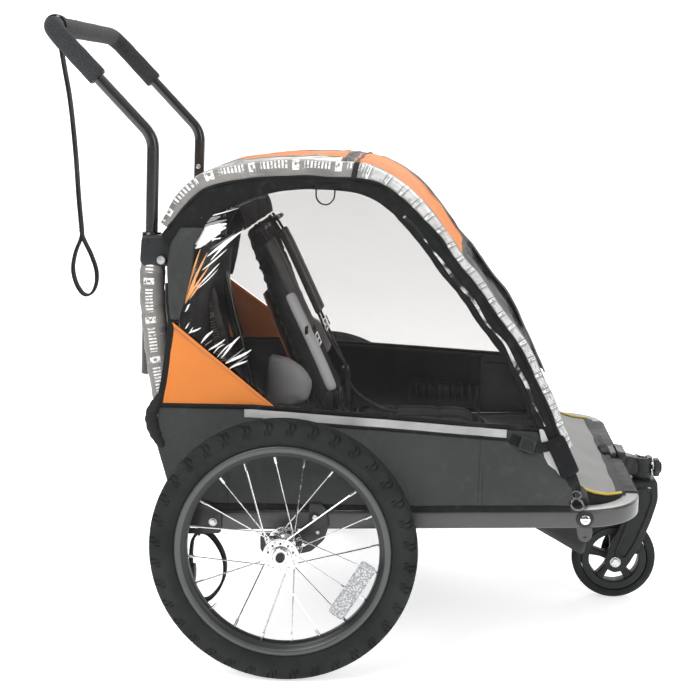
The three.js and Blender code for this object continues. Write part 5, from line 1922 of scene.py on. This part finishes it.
# ---------------------------------------------------------------- canopy
# columns crowd towards the two edges; EDGE_STEPS runs from an edge (0) to the middle (1)
HALF_COLUMNS = 24
EDGE_STEPS = [(k / HALF_COLUMNS) ** 1.8 for k in range(HALF_COLUMNS + 1)]
COLUMNS = [step - 1 for step in EDGE_STEPS] + [1 - step for step in EDGE_STEPS[-2::-1]]
CANOPY_START = hoop_index(383, 388)
CANOPY_END = hoop_index(-164, 652)


def canopy_rows():
    """points and UVs of one curved sheet over both hoops"""
    rows, uvs, run = [], [], 0
    for i in range(CANOPY_START, CANOPY_END + 1):
        point, normal = HOOPS[-1][i]
        x, _, z = to_mm(point)
        _, low, high, middle = hoop_trim(i / (STATIONS - 1))
        length = hypot(normal.x, normal.z)
        normal_x, normal_z = normal.x / length, normal.z / length
        if i > CANOPY_START:
            run += (point - HOOPS[-1][i - 1][0]).length
        half = lean_y(z) + 15.2
        # distance in from the edge, and lift outside the hoop line
        lifts = [(0, low - 3), (1.2, (low + high) / 2 - 1), (7.6, high - 6), (21.6, high - 1.5),
                 (52, (high + middle) / 2 - .8), (half, middle)]
        row = []
        for across in COLUMNS:
            inset = (1 - abs(across)) * half
            lift = sum(interp(lifts, max(0, inset + shift)) for shift in (-2, -1, 0, 1, 2)) / 5
            inner = ease(4, 40, inset)
            # the sheet sags away from the two cross bars
            from_bar = min(abs(x - 88), abs(x + 100)) if z > 640 else 60
            lift -= 2.6 * (1 - exp(-(from_bar / 45) ** 2)) * inner
            lift += wrinkle(x, across * half, z, .012, 3.0, 3) * inner
            lift += (wrinkle(run * 1000, inset * .3, 0, .05, 2.4, 8 + (across > 0))
                     * ease(2, 14, inset) * (1 - ease(60, 150, inset)))
            y = copysign(abs(across) * (half - LEAN * normal_z * lift), across)
            row.append(pos(max(x + normal_x * lift, -203), y, z + normal_z * lift))
            uvs.append((run, y / 1000))
        rows.append(row)
    return rows, uvs


CANOPY, canopy_uvs = canopy_rows()
CANOPY_MATS = ["orange", "blackfab", "roof_side", "vinyl"]


def canopy_mat(i, j):
    """index into CANOPY_MATS for a face"""
    x, _, z = to_mm(CANOPY[i][j])
    inset = (1 - abs(COLUMNS[j])) * 230
    if 80 < x < 99 and z > 640:
        return 1
    if x < 80 and z > 560:
        return 2 if inset < 92 + 22 * sin(x * .045) + 8 * sin(x * .13) else 0
    if x > 268:
        return 1 if inset < 26 or x < 276 or x > 386 else 3
    return 2 if 112 < x < 190 and inset < 26 else 0


def canopy_row(x, above):
    """the row whose middle is nearest x, among rows higher than above"""
    def distance(k):
        row_x, _, row_z = to_mm(CANOPY[k][HALF_COLUMNS])
        return abs(row_x - x) + (0 if row_z > above else 999)
    return min(range(len(CANOPY)), key=distance)


def canopy_line(across, start, end):
    """line along the canopy, just above it, at a fraction across from -1 to 1"""
    inset = 1 - abs(across)
    j = 0
    while j < HALF_COLUMNS and EDGE_STEPS[j + 1] < inset:
        j += 1
    t = (inset - EDGE_STEPS[j]) / max(1e-6, EDGE_STEPS[j + 1] - EDGE_STEPS[j])
    points = []
    for row in CANOPY[start:end]:
        row = row if across < 0 else row[::-1]
        points.append(row[j].lerp(row[j + 1], min(1, max(0, t))) + Vector((0, 0, .0014)))
    return points


grid("canopy_sheet", CANOPY, CANOPY_MATS, "roll_cage", thick=1.5, uvs=canopy_uvs,
     face_mat=canopy_mat, replaces="canopy")
seam_up = Vector((.2, 0, 1))
# name, fraction across, first and last row
CANOPY_SEAMS = (("front", .87, canopy_row(272, 350), canopy_row(112, 350)),
                ("rear", .62, canopy_row(70, 350), len(CANOPY) - 4))
for side, sign in SIDES:
    for tag, across, start, end in CANOPY_SEAMS:
        line = resample(canopy_line(sign * across, start, end), 80)
        sweep("canopy_seam_%s_%s" % (tag, side), line, rounded(1.6, .9, .8, 2), "roof_side",
              "roll_cage", up=seam_up)
        stitches("canopy_thread_%s_%s" % (tag, side), line, seam_up, shift=-sign * 4, lift=.3,
                 pitch=5.5, length=3.4, slot="orange_fabric", body="roll_cage")

# ---------------------------------------------------------------- bands and window borders
BAND_START = 8
BAND_END = hoop_index(-171, 641)
ROOF_JOIN = hoop_index(94, 727)


def band_section(t, x, z):
    _, low, high, _ = hoop_trim(t)
    return resample([(high + .5, -11), (high + .2, -5), (high - 1.6, 3), (high - 4.8, 9.6),
                     (high - 10 if high - low > 20 else high - 7, 13.6),
                     ((low + high) / 2, 16.4), (low - 1, 17.6)], 12)


def border_section(t, x, z):
    """wider towards the hoop's rear end"""
    edge, low, _, _ = hoop_trim(t)
    if x < 0:
        low -= 20 * ease(638, 622, z)
    middle = (edge + low) / 2
    return resample([(low + 1.5, 14.6), (low - 2.5, 16.4), (middle + 2, 17.3),
                     (middle - 3, 16.2), (edge + 4, 17.0), (edge + .6, 15.8), (edge, 13.6)], 11)


def hoop_trimmings(side, sign):
    stations, out = HOOPS[sign], HOOP_OUT[sign]
    band = hoop_strip("canopy_band_" + side, sign, band_section, BAND_START, BAND_END,
                      ["band", "band_front"], thick=1.6, amount=2.3, frequency=.036, seed=4,
                      face_mat=lambda i, j: int(i + BAND_START < ROOF_JOIN - 2))
    for tag, column, half, mat in (("lower", -1, 2.2, "piping"), ("upper", 0, 1.9, "band_plain")):
        sweep("band_binding_%s_%s" % (tag, side), resample([row[column] for row in band], 150),
              rounded(half, 1.4, 1.1, 2), mat, "roll_cage", slot="grey_fabric", up=out)
    stitches("band_thread_" + side, resample([row[-2] + out * .0012 for row in band], 220),
             Vector((0, sign, .22)), shift=0, lift=.5, pitch=4.6, length=2.9,
             slot="grey_fabric", radius=.45, body="roll_cage")
    # black join across the band where the roof's transverse band ends
    normal = stations[ROOF_JOIN][1]
    join = [point + out * .0016 + normal * .0008 for point in band[ROOF_JOIN - 8]]
    sweep("band_join_" + side, resample(join, 16), rounded(4.2, 1.5, 1.2, 2), "blackfab",
          "roll_cage", up=out, rounding=1.5)
    hoop_strip("window_border_" + side, sign, border_section, 2, STATIONS, "casing", thick=1.8,
               amount=2.4, frequency=.055, seed=11)
    # narrow glossy strip along the border, with painted glints in its colour
    gap = []
    for i in range(hoop_index(388, 375), hoop_index(172, 684)):
        point, normal = stations[i]
        gap.append(point + normal * ((-4 + 1.2 * sin(i * .5)) / 1000) + out * .0182)
    sweep("border_gap_" + side, gap, rounded(2.6, .6, .5, 2), "gap", "roll_cage", up=out,
          scale=lambda i: ((.35 + .75 * abs(sin(i * .11)) * (1 if i > 6 else .6)), 1),
          rounding=1)
    sweep("hoop_sleeve_" + side, [point for point, _ in stations[3:-3]], circle(11.9, 18),
          "casing", "roll_cage", rounding=1,
          scale=uniform(lambda i: 1 + .015 * sin(i * .9) + .02 * sin(i * .37)))


for side, sign in SIDES:
    hoop_trimmings(side, sign)
# edges and stitches of the transverse black band over the roof
for tag, x, shift in (("a", 80.5, 3.5), ("b", 98, -3.5)):
    row = CANOPY[canopy_row(x, 640)][5:-5]
    line = resample([point + Vector((0, 0, .0014)) for point in row], 70)
    sweep("roof_band_edge_" + tag, line, rounded(1.6, .9, .8, 2), "piping", "roll_cage", up=UP)
    stitches("roof_band_thread_" + tag, line, UP, shift=shift, lift=.4, pitch=5.5, length=3.4,
             slot="black_fabric", body="roll_cage")

# ---------------------------------------------------------------- side windows, quarter panels
# creases of the right window, drawn as painted highlights: x, z of both ends, width, material
# (index into CREASE_MATS)
CREASES = [
    (-152.8, 675.2, -81.6, 692.9, 1.6, 0), (-151.4, 666.8, -109.1, 682.0, 7, 2),
    (-151.9, 658.7, -99.7, 675.5, 5, 2), (-151.7, 652.7, -99.6, 670.1, 8, 0),
    (-152.2, 645.2, -101.0, 663.5, 10, 0), (-151.5, 639.2, -108.6, 655.9, 9, 0),
    (-149.8, 633.2, -117.7, 648.4, 7, 0), (-126.5, 621.4, -76.3, 659.1, 4.4, 0),
    (-123.3, 615.4, -77.8, 656.1, 3.2, 0), (-133.8, 600.4, -98.9, 630.6, 2.2, 0),
    (-144.1, 576.4, -107.7, 609.6, 2.2, 0), (-145.5, 568.9, -112.2, 600.6, 1.6, 0),
    (-122.0, 630.4, -87.1, 656.1, 2.0, 2), (-159.8, 556.8, -139.0, 630.3, 3.4, 1),
    (-159.0, 552.3, -129.0, 626.8, 3.4, 1), (-159.6, 547.9, -124.7, 608.8, 2.8, 1),
    (-153.0, 556.9, -130.5, 588.5, 2.6, 1), (-157.5, 553.9, -144.4, 594.3, 3.0, 1),
    (-161.9, 538.9, -151.0, 548.8, 2.6, 0), (-161.3, 511.4, -151.7, 521.4, 1.8, 0),
    (-155.1, 506.1, -145.4, 513.7, 1.6, 0), (-153.2, 504.1, -136.1, 515.3, 2.6, 0),
    (-136.3, 490.5, -115.1, 511.0, 3.4, 0), (-128.5, 485.6, -117.4, 497.6, 1.4, 2),
    (-121.6, 479.7, -98.9, 497.8, 2.8, 0), (-117.0, 476.8, -96.3, 490.4, 1.6, 0),
    (-111.3, 470.9, -83.5, 494.1, 1.8, 0), (-105.2, 470.1, -73.5, 501.6, 3.4, 0),
    (-97.3, 461.2, -68.6, 484.1, 2.2, 2), (-95.2, 460.1, -58.8, 483.4, 4.0, 0),
    (-89.5, 452.7, -64.6, 467.0, 3.0, 0), (-89.6, 456.3, -62.3, 472.9, 1.6, 2)]
CREASE_MATS = ("crease", "crease_amber", "band_plain")
WINDOW_LOW = [(-176, 524), (-16, 397), (200, 382.5), (376, 371)]
QUARTER_LOW = [(-196, 396), (-22, 396)]
QUARTER_HIGH = [(-196, 401), (-186, 450), (-181, 521), (-22, 397)]
# z, x of the rear border's rear and front edge
BORDER_REAR = [(500, -182), (527, -182), (560, -186), (606, -189), (640, -184), (664, -169)]
BORDER_FRONT = [(500, -176), (521, -170), (560, -159), (600, -150), (640, -146), (664, -132)]


def window_top():
    """the window's upper edge, just outside the trim line that follows the hoop"""
    points = []
    for i in range(hoop_index(384, 386), hoop_index(-150, 672)):
        point, normal = HOOPS[-1][i]
        reach = hoop_trim(i / (STATIONS - 1))[0] + 3.5
        x, _, z = to_mm(point + normal * (reach / 1000))
        points.append((x, z))
    points = [p for p in sorted(points)[::3] if -140 < p[0] < 371]
    return [(-176, 545), (-160, 600), (-150, 628)] + points + [(372, 386), (376, 374)]


WINDOW_HIGH = window_top()


def side_window(side, sign):
    def offset(x, z, v, u):
        rear = ease(20, -150, x)
        ripples = wrinkle(x, z, 2, .045, 3.2, 6 + sign) + 1.2 * sin((x * .8 + z) * .12)
        out = 14.2 - 2.4 * sin(v * pi) * sin(u * pi) + wrinkle(x, z, 0, .008, 1.6, 3 + sign)
        return max(12.8 * ease(-60, -120, x), out + rear * ripples * sin(v * pi) ** .5)
    xs = [-176, -174, -171, -166, -160, -153, -146] + steps(-138, 376, 90)
    lean_panel("side_window_sheet_" + side, xs, WINDOW_LOW, WINDOW_HIGH, offset, sign,
               "vinyl" if sign < 0 else "vinyl_far", rows=40, thick=.8,
               replaces="side_window_" + side, fold=True)


def quarter_panel(side, sign):
    """orange corner over the window's lower rear corner, with its edge, thread and binding"""
    flat = Vector((0, sign, 0))
    xs = [-195, -190, -186, -183.5, -181] + steps(-177, -22, 44)
    lean_panel("quarter_sheet_" + side, xs, QUARTER_LOW, QUARTER_HIGH,
               lambda x, z, v, u: 15.6 + 2.2 * sin(v * pi) + wrinkle(x, z, 0, .02, 1.4, 2),
               sign, "orange", rows=22, thick=1.5, replaces="quarter_panel_" + side, fold=True)
    edge = [lean(x, interp(QUARTER_HIGH, x), sign, 17.4) for x in steps(-180, -22, 40)]
    sweep("quarter_edge_" + side, edge, rounded(2.4, 1.2, 1.0, 2), "orange", up=flat, fold=True)
    stitches("quarter_thread_" + side, [point + Vector((0, 0, -.0045)) for point in edge], flat,
             shift=0, lift=1.2, pitch=4.6, length=2.9, slot="orange_fabric", radius=.45,
             fold=True)
    rear = [lean(x, z, sign, 17.2)
            for x, z in ((-197, 398), (-190, 440), (-184, 490), (-181, 530), (-178, 560))]
    sweep("quarter_rear_binding_" + side, catmull(rear, 40), rounded(5, 1.5, 1.3, 2), "casing",
          up=flat, fold=True)


def rear_border(side, sign):
    """wrinkled dark border down the window's rear edge"""
    rows = []
    for z in steps(527, 664, 54):
        rear, front = interp(BORDER_REAR, z), interp(BORDER_FRONT, z)
        row = []
        for v in steps(0, 1, 14):
            x, arch = rear + (front - rear) * v, sin(v * pi)
            out = 20.2 + 1.4 * arch + 1.1 * sin(z * .13 + v * 6) * arch
            out += wrinkle(x, z * 1.5, 0, .05, 3.4, 21 + sign) * max(0, arch) ** .5
            row.append(lean(x, z, sign, out))
        rows.append(row)
    grid("rear_border_" + side, rows, "darkgrey", thick=1.4, fold=True)


def vinyl_creases(side, sign):
    """thin raised slivers coloured as painted highlights, where the creases catch the light"""
    def sliver(i):
        bulge = sin(pi * min(1, (i + .4) / 13.8)) ** .75
        return .06 + bulge * (1 + .12 * sin(i * 2.1)), 1

    parts = [[], [], []]
    for x_start, z_start, x_end, z_end, width, kind in CREASES:
        line = [lean(x_start + (x_end - x_start) * v + 1.6 * sin(v * 3.1 + x_start),
                     z_start + (z_end - z_start) * v + 1.2 * sin(v * 4 + z_start), sign,
                     17.2 + .5 * sin(v * pi)) for v in steps(0, 1, 14)]
        parts[kind].append(tube(line, rounded(width / 2, .35, .3, 1),
                                up=Vector((0, sign, .22)), scale=sliver))
    for kind, mat in enumerate(CREASE_MATS):
        build("vinyl_creases_%d_%s" % (kind, side), parts[kind], mat, auto=None, clean=False,
              slot="clear_vinyl", fold=True)


def hanging_loop(side, sign):
    """small loop under the roof edge, and the hem that holds it"""
    flat = Vector((0, sign, 0))
    loop = [lean(x, z, sign, 19.5)
            for x, z in ((38, 722), (39, 709), (46, 701), (57, 700), (65, 708), (67, 722))]
    sweep("hanging_loop_" + side, catmull(loop, 30), rounded(1.0, 3.0, .8, 2), "web",
          "roll_cage", up=flat, fold=True)
    sweep("loop_hem_" + side, [lean(x, 726 + .01 * x, sign, 18.6) for x in (36, 46, 60, 70)],
          rounded(4.0, 1.1, .9, 2), "web", "roll_cage", up=flat)


for side, sign in SIDES:
    side_window(side, sign)
    quarter_panel(side, sign)
    rear_border(side, sign)
    if side == "right":
        vinyl_creases(side, sign)
    hanging_loop(side, sign)
# the hanging loops are taken off the folding list
FOLDING = [obj for obj in FOLDING if not obj.name.startswith("hanging_loop_")]

# ---------------------------------------------------------------- sleeves at the handle's foot
SLEEVE = [(-213.5, 215, 632), (-218, 222, 600), (-219, 226, 550), (-214, 234, 500),
          (-205, 246, 440), (-192, 262, 384), (-188, 268, 366)]
SLEEVE_COLUMNS = 28


def handle_sleeve(side, sign):
    flat = Vector((0, sign, 0))
    line = catmull([pos(x, sign * y, z) for x, y, z in SLEEVE], 60)
    profile = [(copysign(abs(cos(a)) ** .8, cos(a)) * 18,
                copysign(abs(sin(a)) ** .9, sin(a)) * 15.2) for a in turn(SLEEVE_COLUMNS)]
    verts, faces, _ = tube(line, profile, up=flat, cap=False, scale=lambda i: (
        1 + .03 * sin(i * .8) + .02 * sin(i * 1.7), 1 + .03 * sin(i * .7 + 1)))
    uvs, run = [], 0
    for i, point in enumerate(line):
        if i:
            run += (point - line[i - 1]).length
        uvs += [(run, (x + 18) / 36) for x, _ in profile]
    obj = make("handle_sleeve_" + side, verts, faces, "band", "roll_cage", uvs, auto=70)
    add_modifier(obj, "SOLIDIFY", thickness=.0014, offset=-1)
    sweep("sleeve_hem_" + side, verts[SLEEVE_COLUMNS:2 * SLEEVE_COLUMNS], circle(2.0, 8),
          "band_plain", "roll_cage", closed=True)
    row = verts[3 * SLEEVE_COLUMNS:4 * SLEEVE_COLUMNS]
    thread = [point + (point - line[3]).normalized() * .0004 for point in row + row[:1]]
    stitches("sleeve_thread_" + side, resample(thread, 60), flat, shift=0, lift=.2, pitch=4.4,
             length=2.8, slot="grey_fabric", radius=.45, body="roll_cage")


for side, sign in SIDES:
    handle_sleeve(side, sign)


# ---------------------------------------------------------------- straps, buckles and rings
def lean_path(points, sign):
    """points are x, z and distance outside the side plane"""
    return [lean(x, z, sign, out) for x, z, out in points]


def foot_straps(side, sign):
    """padded flap over the hoop foot, webbing to a ring and hook, and a pale panel behind that is a
    painted sheen at the window gap's lower end
    """
    out = Vector((0, sign, .22))
    flap = catmull(lean_path([(402, 356, 21), (408, 344, 22.5), (414, 331, 23),
                              (420, 318, 22.5), (424, 309, 21.5)], sign), 30)
    sweep("foot_flap_" + side, flap, rounded(14.5, 4.4, 3.8, 4), "blackpad", up=out, rounding=4)
    sweep("foot_flap_binding_" + side,
          [point + Vector((0, sign * .003, .0005)) for point in flap],
          rounded(9, 1.0, .9, 2), "web", up=out, rounding=2)
    web = lean_path([(421, 316, 21), (427, 302, 20.8), (431, 291, 20), (433, 281, 19.4)], sign)
    sweep("foot_web_" + side, catmull(web, 40), rounded(8.5, .8, 1.6 / 2.3, 2), "web", up=out)
    loop = [lean(434 + 7 * cos(a), 277 + 5.5 * sin(a), sign, 19.8) for a in turn(28)]
    sweep("foot_ring_" + side, loop, circle(1.4, 10), "gunmetal", closed=True)
    hook = lean_path([(431, 272, 20), (426, 264, 20.5), (430, 257, 20), (438, 255, 19.8),
                      (445, 259, 19.8), (442, 267, 20), (437, 271, 20.6)], sign)
    sweep("foot_hook_" + side, catmull(hook, 24), circle(1.6, 10), "gunmetal", rounding=1)
    # the pale panel paints the sheen where the window gap widens at its foot
    outline = round_poly([(378, 372), (385, 371), (397, 343), (408, 318), (409, 300),
                          (402, 293), (395, 298), (386, 332)], 7)
    count = len(outline)
    verts = [lean(x, z, sign, depth + .6 * sin(z * .09))
             for depth in (19.4, 17.6) for x, z in outline]
    faces = [tuple(range(count)), tuple(range(count, 2 * count))[::-1]]
    faces += [(i, count + i, count + (i + 1) % count, (i + 1) % count) for i in range(count)]
    panel = make("foot_grey_panel_" + side, verts, faces, "tubepad", auto=40)
    fix_normals(panel.data)


def slide_strap(side, sign):
    """strap with a slide buckle at the canopy's front edge"""
    out = Vector((0, sign, .22))
    line = lean_path([(336, 358, 20), (352, 352, 21.5), (368, 347, 22.5), (384, 346, 22),
                      (400, 350, 21)], sign)
    sweep("slide_strap_" + side, catmull(line, 40), rounded(7.5, .8, 1.6 / 2.3, 2), "web",
          up=out)
    frame_line = [lean(x, z, sign, 24)
                  for x, z in ((350, 353.5), (352, 352.8), (370, 346.4), (372, 345.8))]
    parts = [tube(frame_line, rounded(11, 3.4, 2.4), up=out, scale=pinch(3, .88, .8))]
    for k in range(4):
        parts.append(tube([lean(354 + k * 4.6, 352 - k * 1.7 + rise, sign, 27.8)
                           for rise in (-8, 8)], circle(.9, 6)))
    build("slide_buckle_" + side, parts, "plastic", auto=45)


def rail_details(side, sign):
    """tab under the rail, webbing at the rail, and a gusset at the rear lower corner"""
    tab = [(438, 229), (459, 229), (460, 214), (454, 204), (443, 204), (437, 214)]
    plate("rail_tab_" + side, round_poly(tab, 5, 6), [circle(2.6, 14, 448.5, 213)], sign,
          326, 331, "frame", bevel=1.1)
    for k, x in enumerate((196, 206)):
        # the loop is squeezed almost flat across Y
        loop = [pos(x, sign * RAIL_Y + across / 1000, rail_z(x) + rise)
                for across, rise in rounded(15.2, 15.2, 4.6, 4)]
        sweep("rail_wrap_%d_%s" % (k, side), loop, rounded(4.6, .9, .8, 2), "web", closed=True)
    line = catmull(lean_path([(-196, 414, 17), (-203, 400, 17), (-209, 384, 16),
                              (-207, 366, 15), (-200, 350, 15), (-192, 338, 15)], sign), 40)

    def fullness(i):
        return (.35 + .75 * sin(pi * (i + 1) / 42) ** .7) * (1 + .06 * sin(i * 1.1))
    sweep("rear_gusset_" + side, line, [(cos(a) * 9, sin(a) * 6) for a in turn(18)],
          "blackfab", up=Vector((0, sign, 0)), scale=uniform(fullness), rounding=2)


LOCK_Y = -306
LOCK_LOOP = [(-139, 201), (-126, 199), (-112, 184), (-101, 160), (-100.5, 132), (-111, 107),
             (-129, 90), (-142, 91), (-149, 111), (-152.5, 154), (-148, 190), (-139, 201)]


def wheel_lock_strap():
    """webbing loop and buckle that hang inside the right rail"""
    loop = catmull([pos(x, LOCK_Y, z) for x, z in LOCK_LOOP], 90)
    build("wheel_lock_web",
          [tube(loop, rounded(9.4, 2.1, 1.6), up=face_normals(loop)),
           tube([pos(-138, LOCK_Y, z) for z in (196, 204, 216, 228)], rounded(9.2, 1.2, 1, 2),
                up=Vector((1, 0, 0)))], "web", clean=False, replaces="wheel_lock_strap")
    parts = [tube([pos(-150.5 + .2 * k, LOCK_Y, 118 + k * 7) for k in range(5)],
                  rounded(11.5, 4.2, 3), up=Vector((1, 0, .05)), scale=pinch(4, .86, .8))]
    for k in range(3):
        parts.append(tube([pos(-155.2, LOCK_Y + end * 10, 124 + k * 8) for end in (-1, 1)],
                          circle(1.0, 6)))
    build("wheel_lock_buckle", parts, "plastic", auto=45)


# straps wrapped round the caster arm: x, half width, lean of the loop, growth, material
ARM_WRAPS = [(511, 8.5, 4, 0, "web"), (526, 9.5, -4, 0, "strap_print"),
             (551, 8, 4, 0, "strap_print"), (518, 7, -4, 2.6, "web"),
             (536, 7.5, 4, 2.6, "strap_print")]

for side, sign in SIDES:
    foot_straps(side, sign)
    slide_strap(side, sign)
    rail_details(side, sign)
wheel_lock_strap()
# small plate on the outer face of the left rail
sweep("tow_pad_plate", [pos(300 + x, 332.5, rail_z(300)) for x in (-32, -31, 31, 32)],
      rounded(2.5, 8, 1.2), "frame", up=UP, scale=pinch(3, .8, .92))
for k, (x, half_width, slant, growth, mat) in enumerate(ARM_WRAPS):
    half_y, low, high = (28.2, 219, 262) if x < 545 else (15.6, 219.4, 253.4)
    middle = (low + high) / 2
    loop = [pos(x + (slant if rise > 0 else -slant), y, middle + rise)
            for y, rise in rounded(half_y + growth, (high - low) / 2 + growth, 6, 4)]
    sweep("arm_wrap_%d" % k, loop, rounded(half_width, 1.5, 1.3, 2), mat, closed=True,
          up=[(point - pos(x, 0, middle)).normalized() for point in loop])

# ---------------------------------------------------------------- applying modifiers and finishing
for obj in FOLDING:
    if obj.modifiers:
        bake(obj)
    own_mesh(obj)
for obj in list(bpy.data.objects):
    if (obj.type == "MESH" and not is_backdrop(obj) and obj.modifiers
            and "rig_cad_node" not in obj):
        bake(obj)

# CAD nodes that still show keep their shape and get the finished materials
for node in frame["nodes"].values():
    if node.hide_render:
        continue
    slots = node.data.materials
    cad_name = slots[0].name if slots and slots[0] else ""
    key = next((keys[0] for slot, keys in SLOTS.items() if cad_name.startswith(slot)), "plastic")
    slots.clear()
    slots.append(MATERIALS[key].material)

# ---------------------------------------------------------------- studio floor
# y, z in metres: flat, then curved up behind into a wall
BACKDROP = [(-6, 0), (2.5, 0), (3.2, .1), (3.8, .45), (4.1, 1.0), (4.2, 6)]
BACKDROP_HALF_WIDTH = 9
FLOOR_GAP = .0006                    # keeps the floor just below the tyres


def studio_floor():
    mat = Material("studio_floor", (.90, .90, .90), rough=.9, spec=.2)
    mat.color(mat.shades(mat.patches(.6, detail=2), .985, 1.0))
    mat.set(mat.shader, {"Emission Color": (1, 1, 1, 1), "Emission Strength": .60})
    verts = [(x, y, z - FLOOR_GAP) for x in (-BACKDROP_HALF_WIDTH, BACKDROP_HALF_WIDTH)
             for y, z in BACKDROP]
    mesh = bpy.data.meshes.new("studio_floor")
    mesh.from_pydata(verts, [], flipped(quads(2, len(BACKDROP), width_closed=False))
                     if False else quads(2, len(BACKDROP), width_closed=False))
    mesh.update()
    mesh.materials.append(mat.material)
    mesh.polygons.foreach_set("use_smooth", [True] * len(mesh.polygons))
    link(bpy.data.objects.new("studio_floor", mesh))


# ---------------------------------------------------------------- world, lights, camera
def studio_world():
    """even white light; reflections see a world that darkens towards the horizon"""
    world = bpy.data.worlds.new("studio")
    bpy.context.scene.world = world
    world.use_nodes = True
    nodes, links = world.node_tree.nodes, world.node_tree.links
    even = nodes["Background"]
    even.inputs[0].default_value = (1, 1, 1, 1)
    even.inputs[1].default_value = .60
    graded = nodes.new("ShaderNodeBackground")
    chooser = nodes.new("ShaderNodeMixShader")
    ray = nodes.new("ShaderNodeLightPath")
    place = nodes.new("ShaderNodeTexCoord")
    axes = nodes.new("ShaderNodeSeparateXYZ")
    gradient = nodes.new("ShaderNodeMapRange")
    for key, value in (("From Min", .25), ("From Max", .9), ("To Min", .10), ("To Max", 1.0)):
        gradient.inputs[key].default_value = value
    links.new(place.outputs["Generated"], axes.inputs[0])
    links.new(axes.outputs[2], gradient.inputs["Value"])
    links.new(gradient.outputs["Result"], graded.inputs[1])
    links.new(ray.outputs["Is Glossy Ray"], chooser.inputs[0])
    links.new(even.outputs[0], chooser.inputs[1])
    links.new(graded.outputs[0], chooser.inputs[2])
    links.new(chooser.outputs[0], nodes["World Output"].inputs["Surface"])


# name, location, target, size in metres, power in watts
LIGHTS = (
    ("key", (-1.6, -2.4, 2.6), (0, 0, .4), (1.8, 1.8), 50),
    ("fill", (2.4, -2.0, 1.4), (0, 0, .4), (1.6, 1.6), 20),
    ("rim_light", (.6, 2.6, 2.2), (0, 0, .5), (2.2, 1.2), 42),
    ("top", (0, 0, 3.0), (0, 0, 0), (2.4, 1.6), 14))


def area_light(name, location, target, size, power):
    light = bpy.data.lights.new(name, "AREA")
    light.shape = "RECTANGLE"
    light.size, light.size_y = size
    light.energy = power
    light.color = (1, 1, 1)
    obj = bpy.data.objects.new(name, light)
    obj.location = location
    aim = Vector(target) - Vector(location)
    obj.rotation_euler = aim.to_track_quat("-Z", "Y").to_euler()
    link(obj)


def camera():
    """right side view, looking slightly down and slightly towards the rear"""
    lens = bpy.data.cameras.new("photo_camera")
    lens.sensor_width = 36
    lens.lens = 70.82
    lens.clip_start, lens.clip_end = .05, 60
    obj = link(bpy.data.objects.new("photo_camera", lens))
    obj.location = (AXLE_X + .2253, -2.3286, .8581)
    tilt_down, swing = 10.35, 3.70
    obj.rotation_euler = (radians(90 - tilt_down), 0, radians(swing))
    bpy.context.scene.camera = obj


studio_floor()
view = bpy.context.scene.view_settings
view.view_transform = "Standard"
view.look = "None"
studio_world()
for row in LIGHTS:
    area_light(*row)
camera()

bpy.context.view_layer.update()
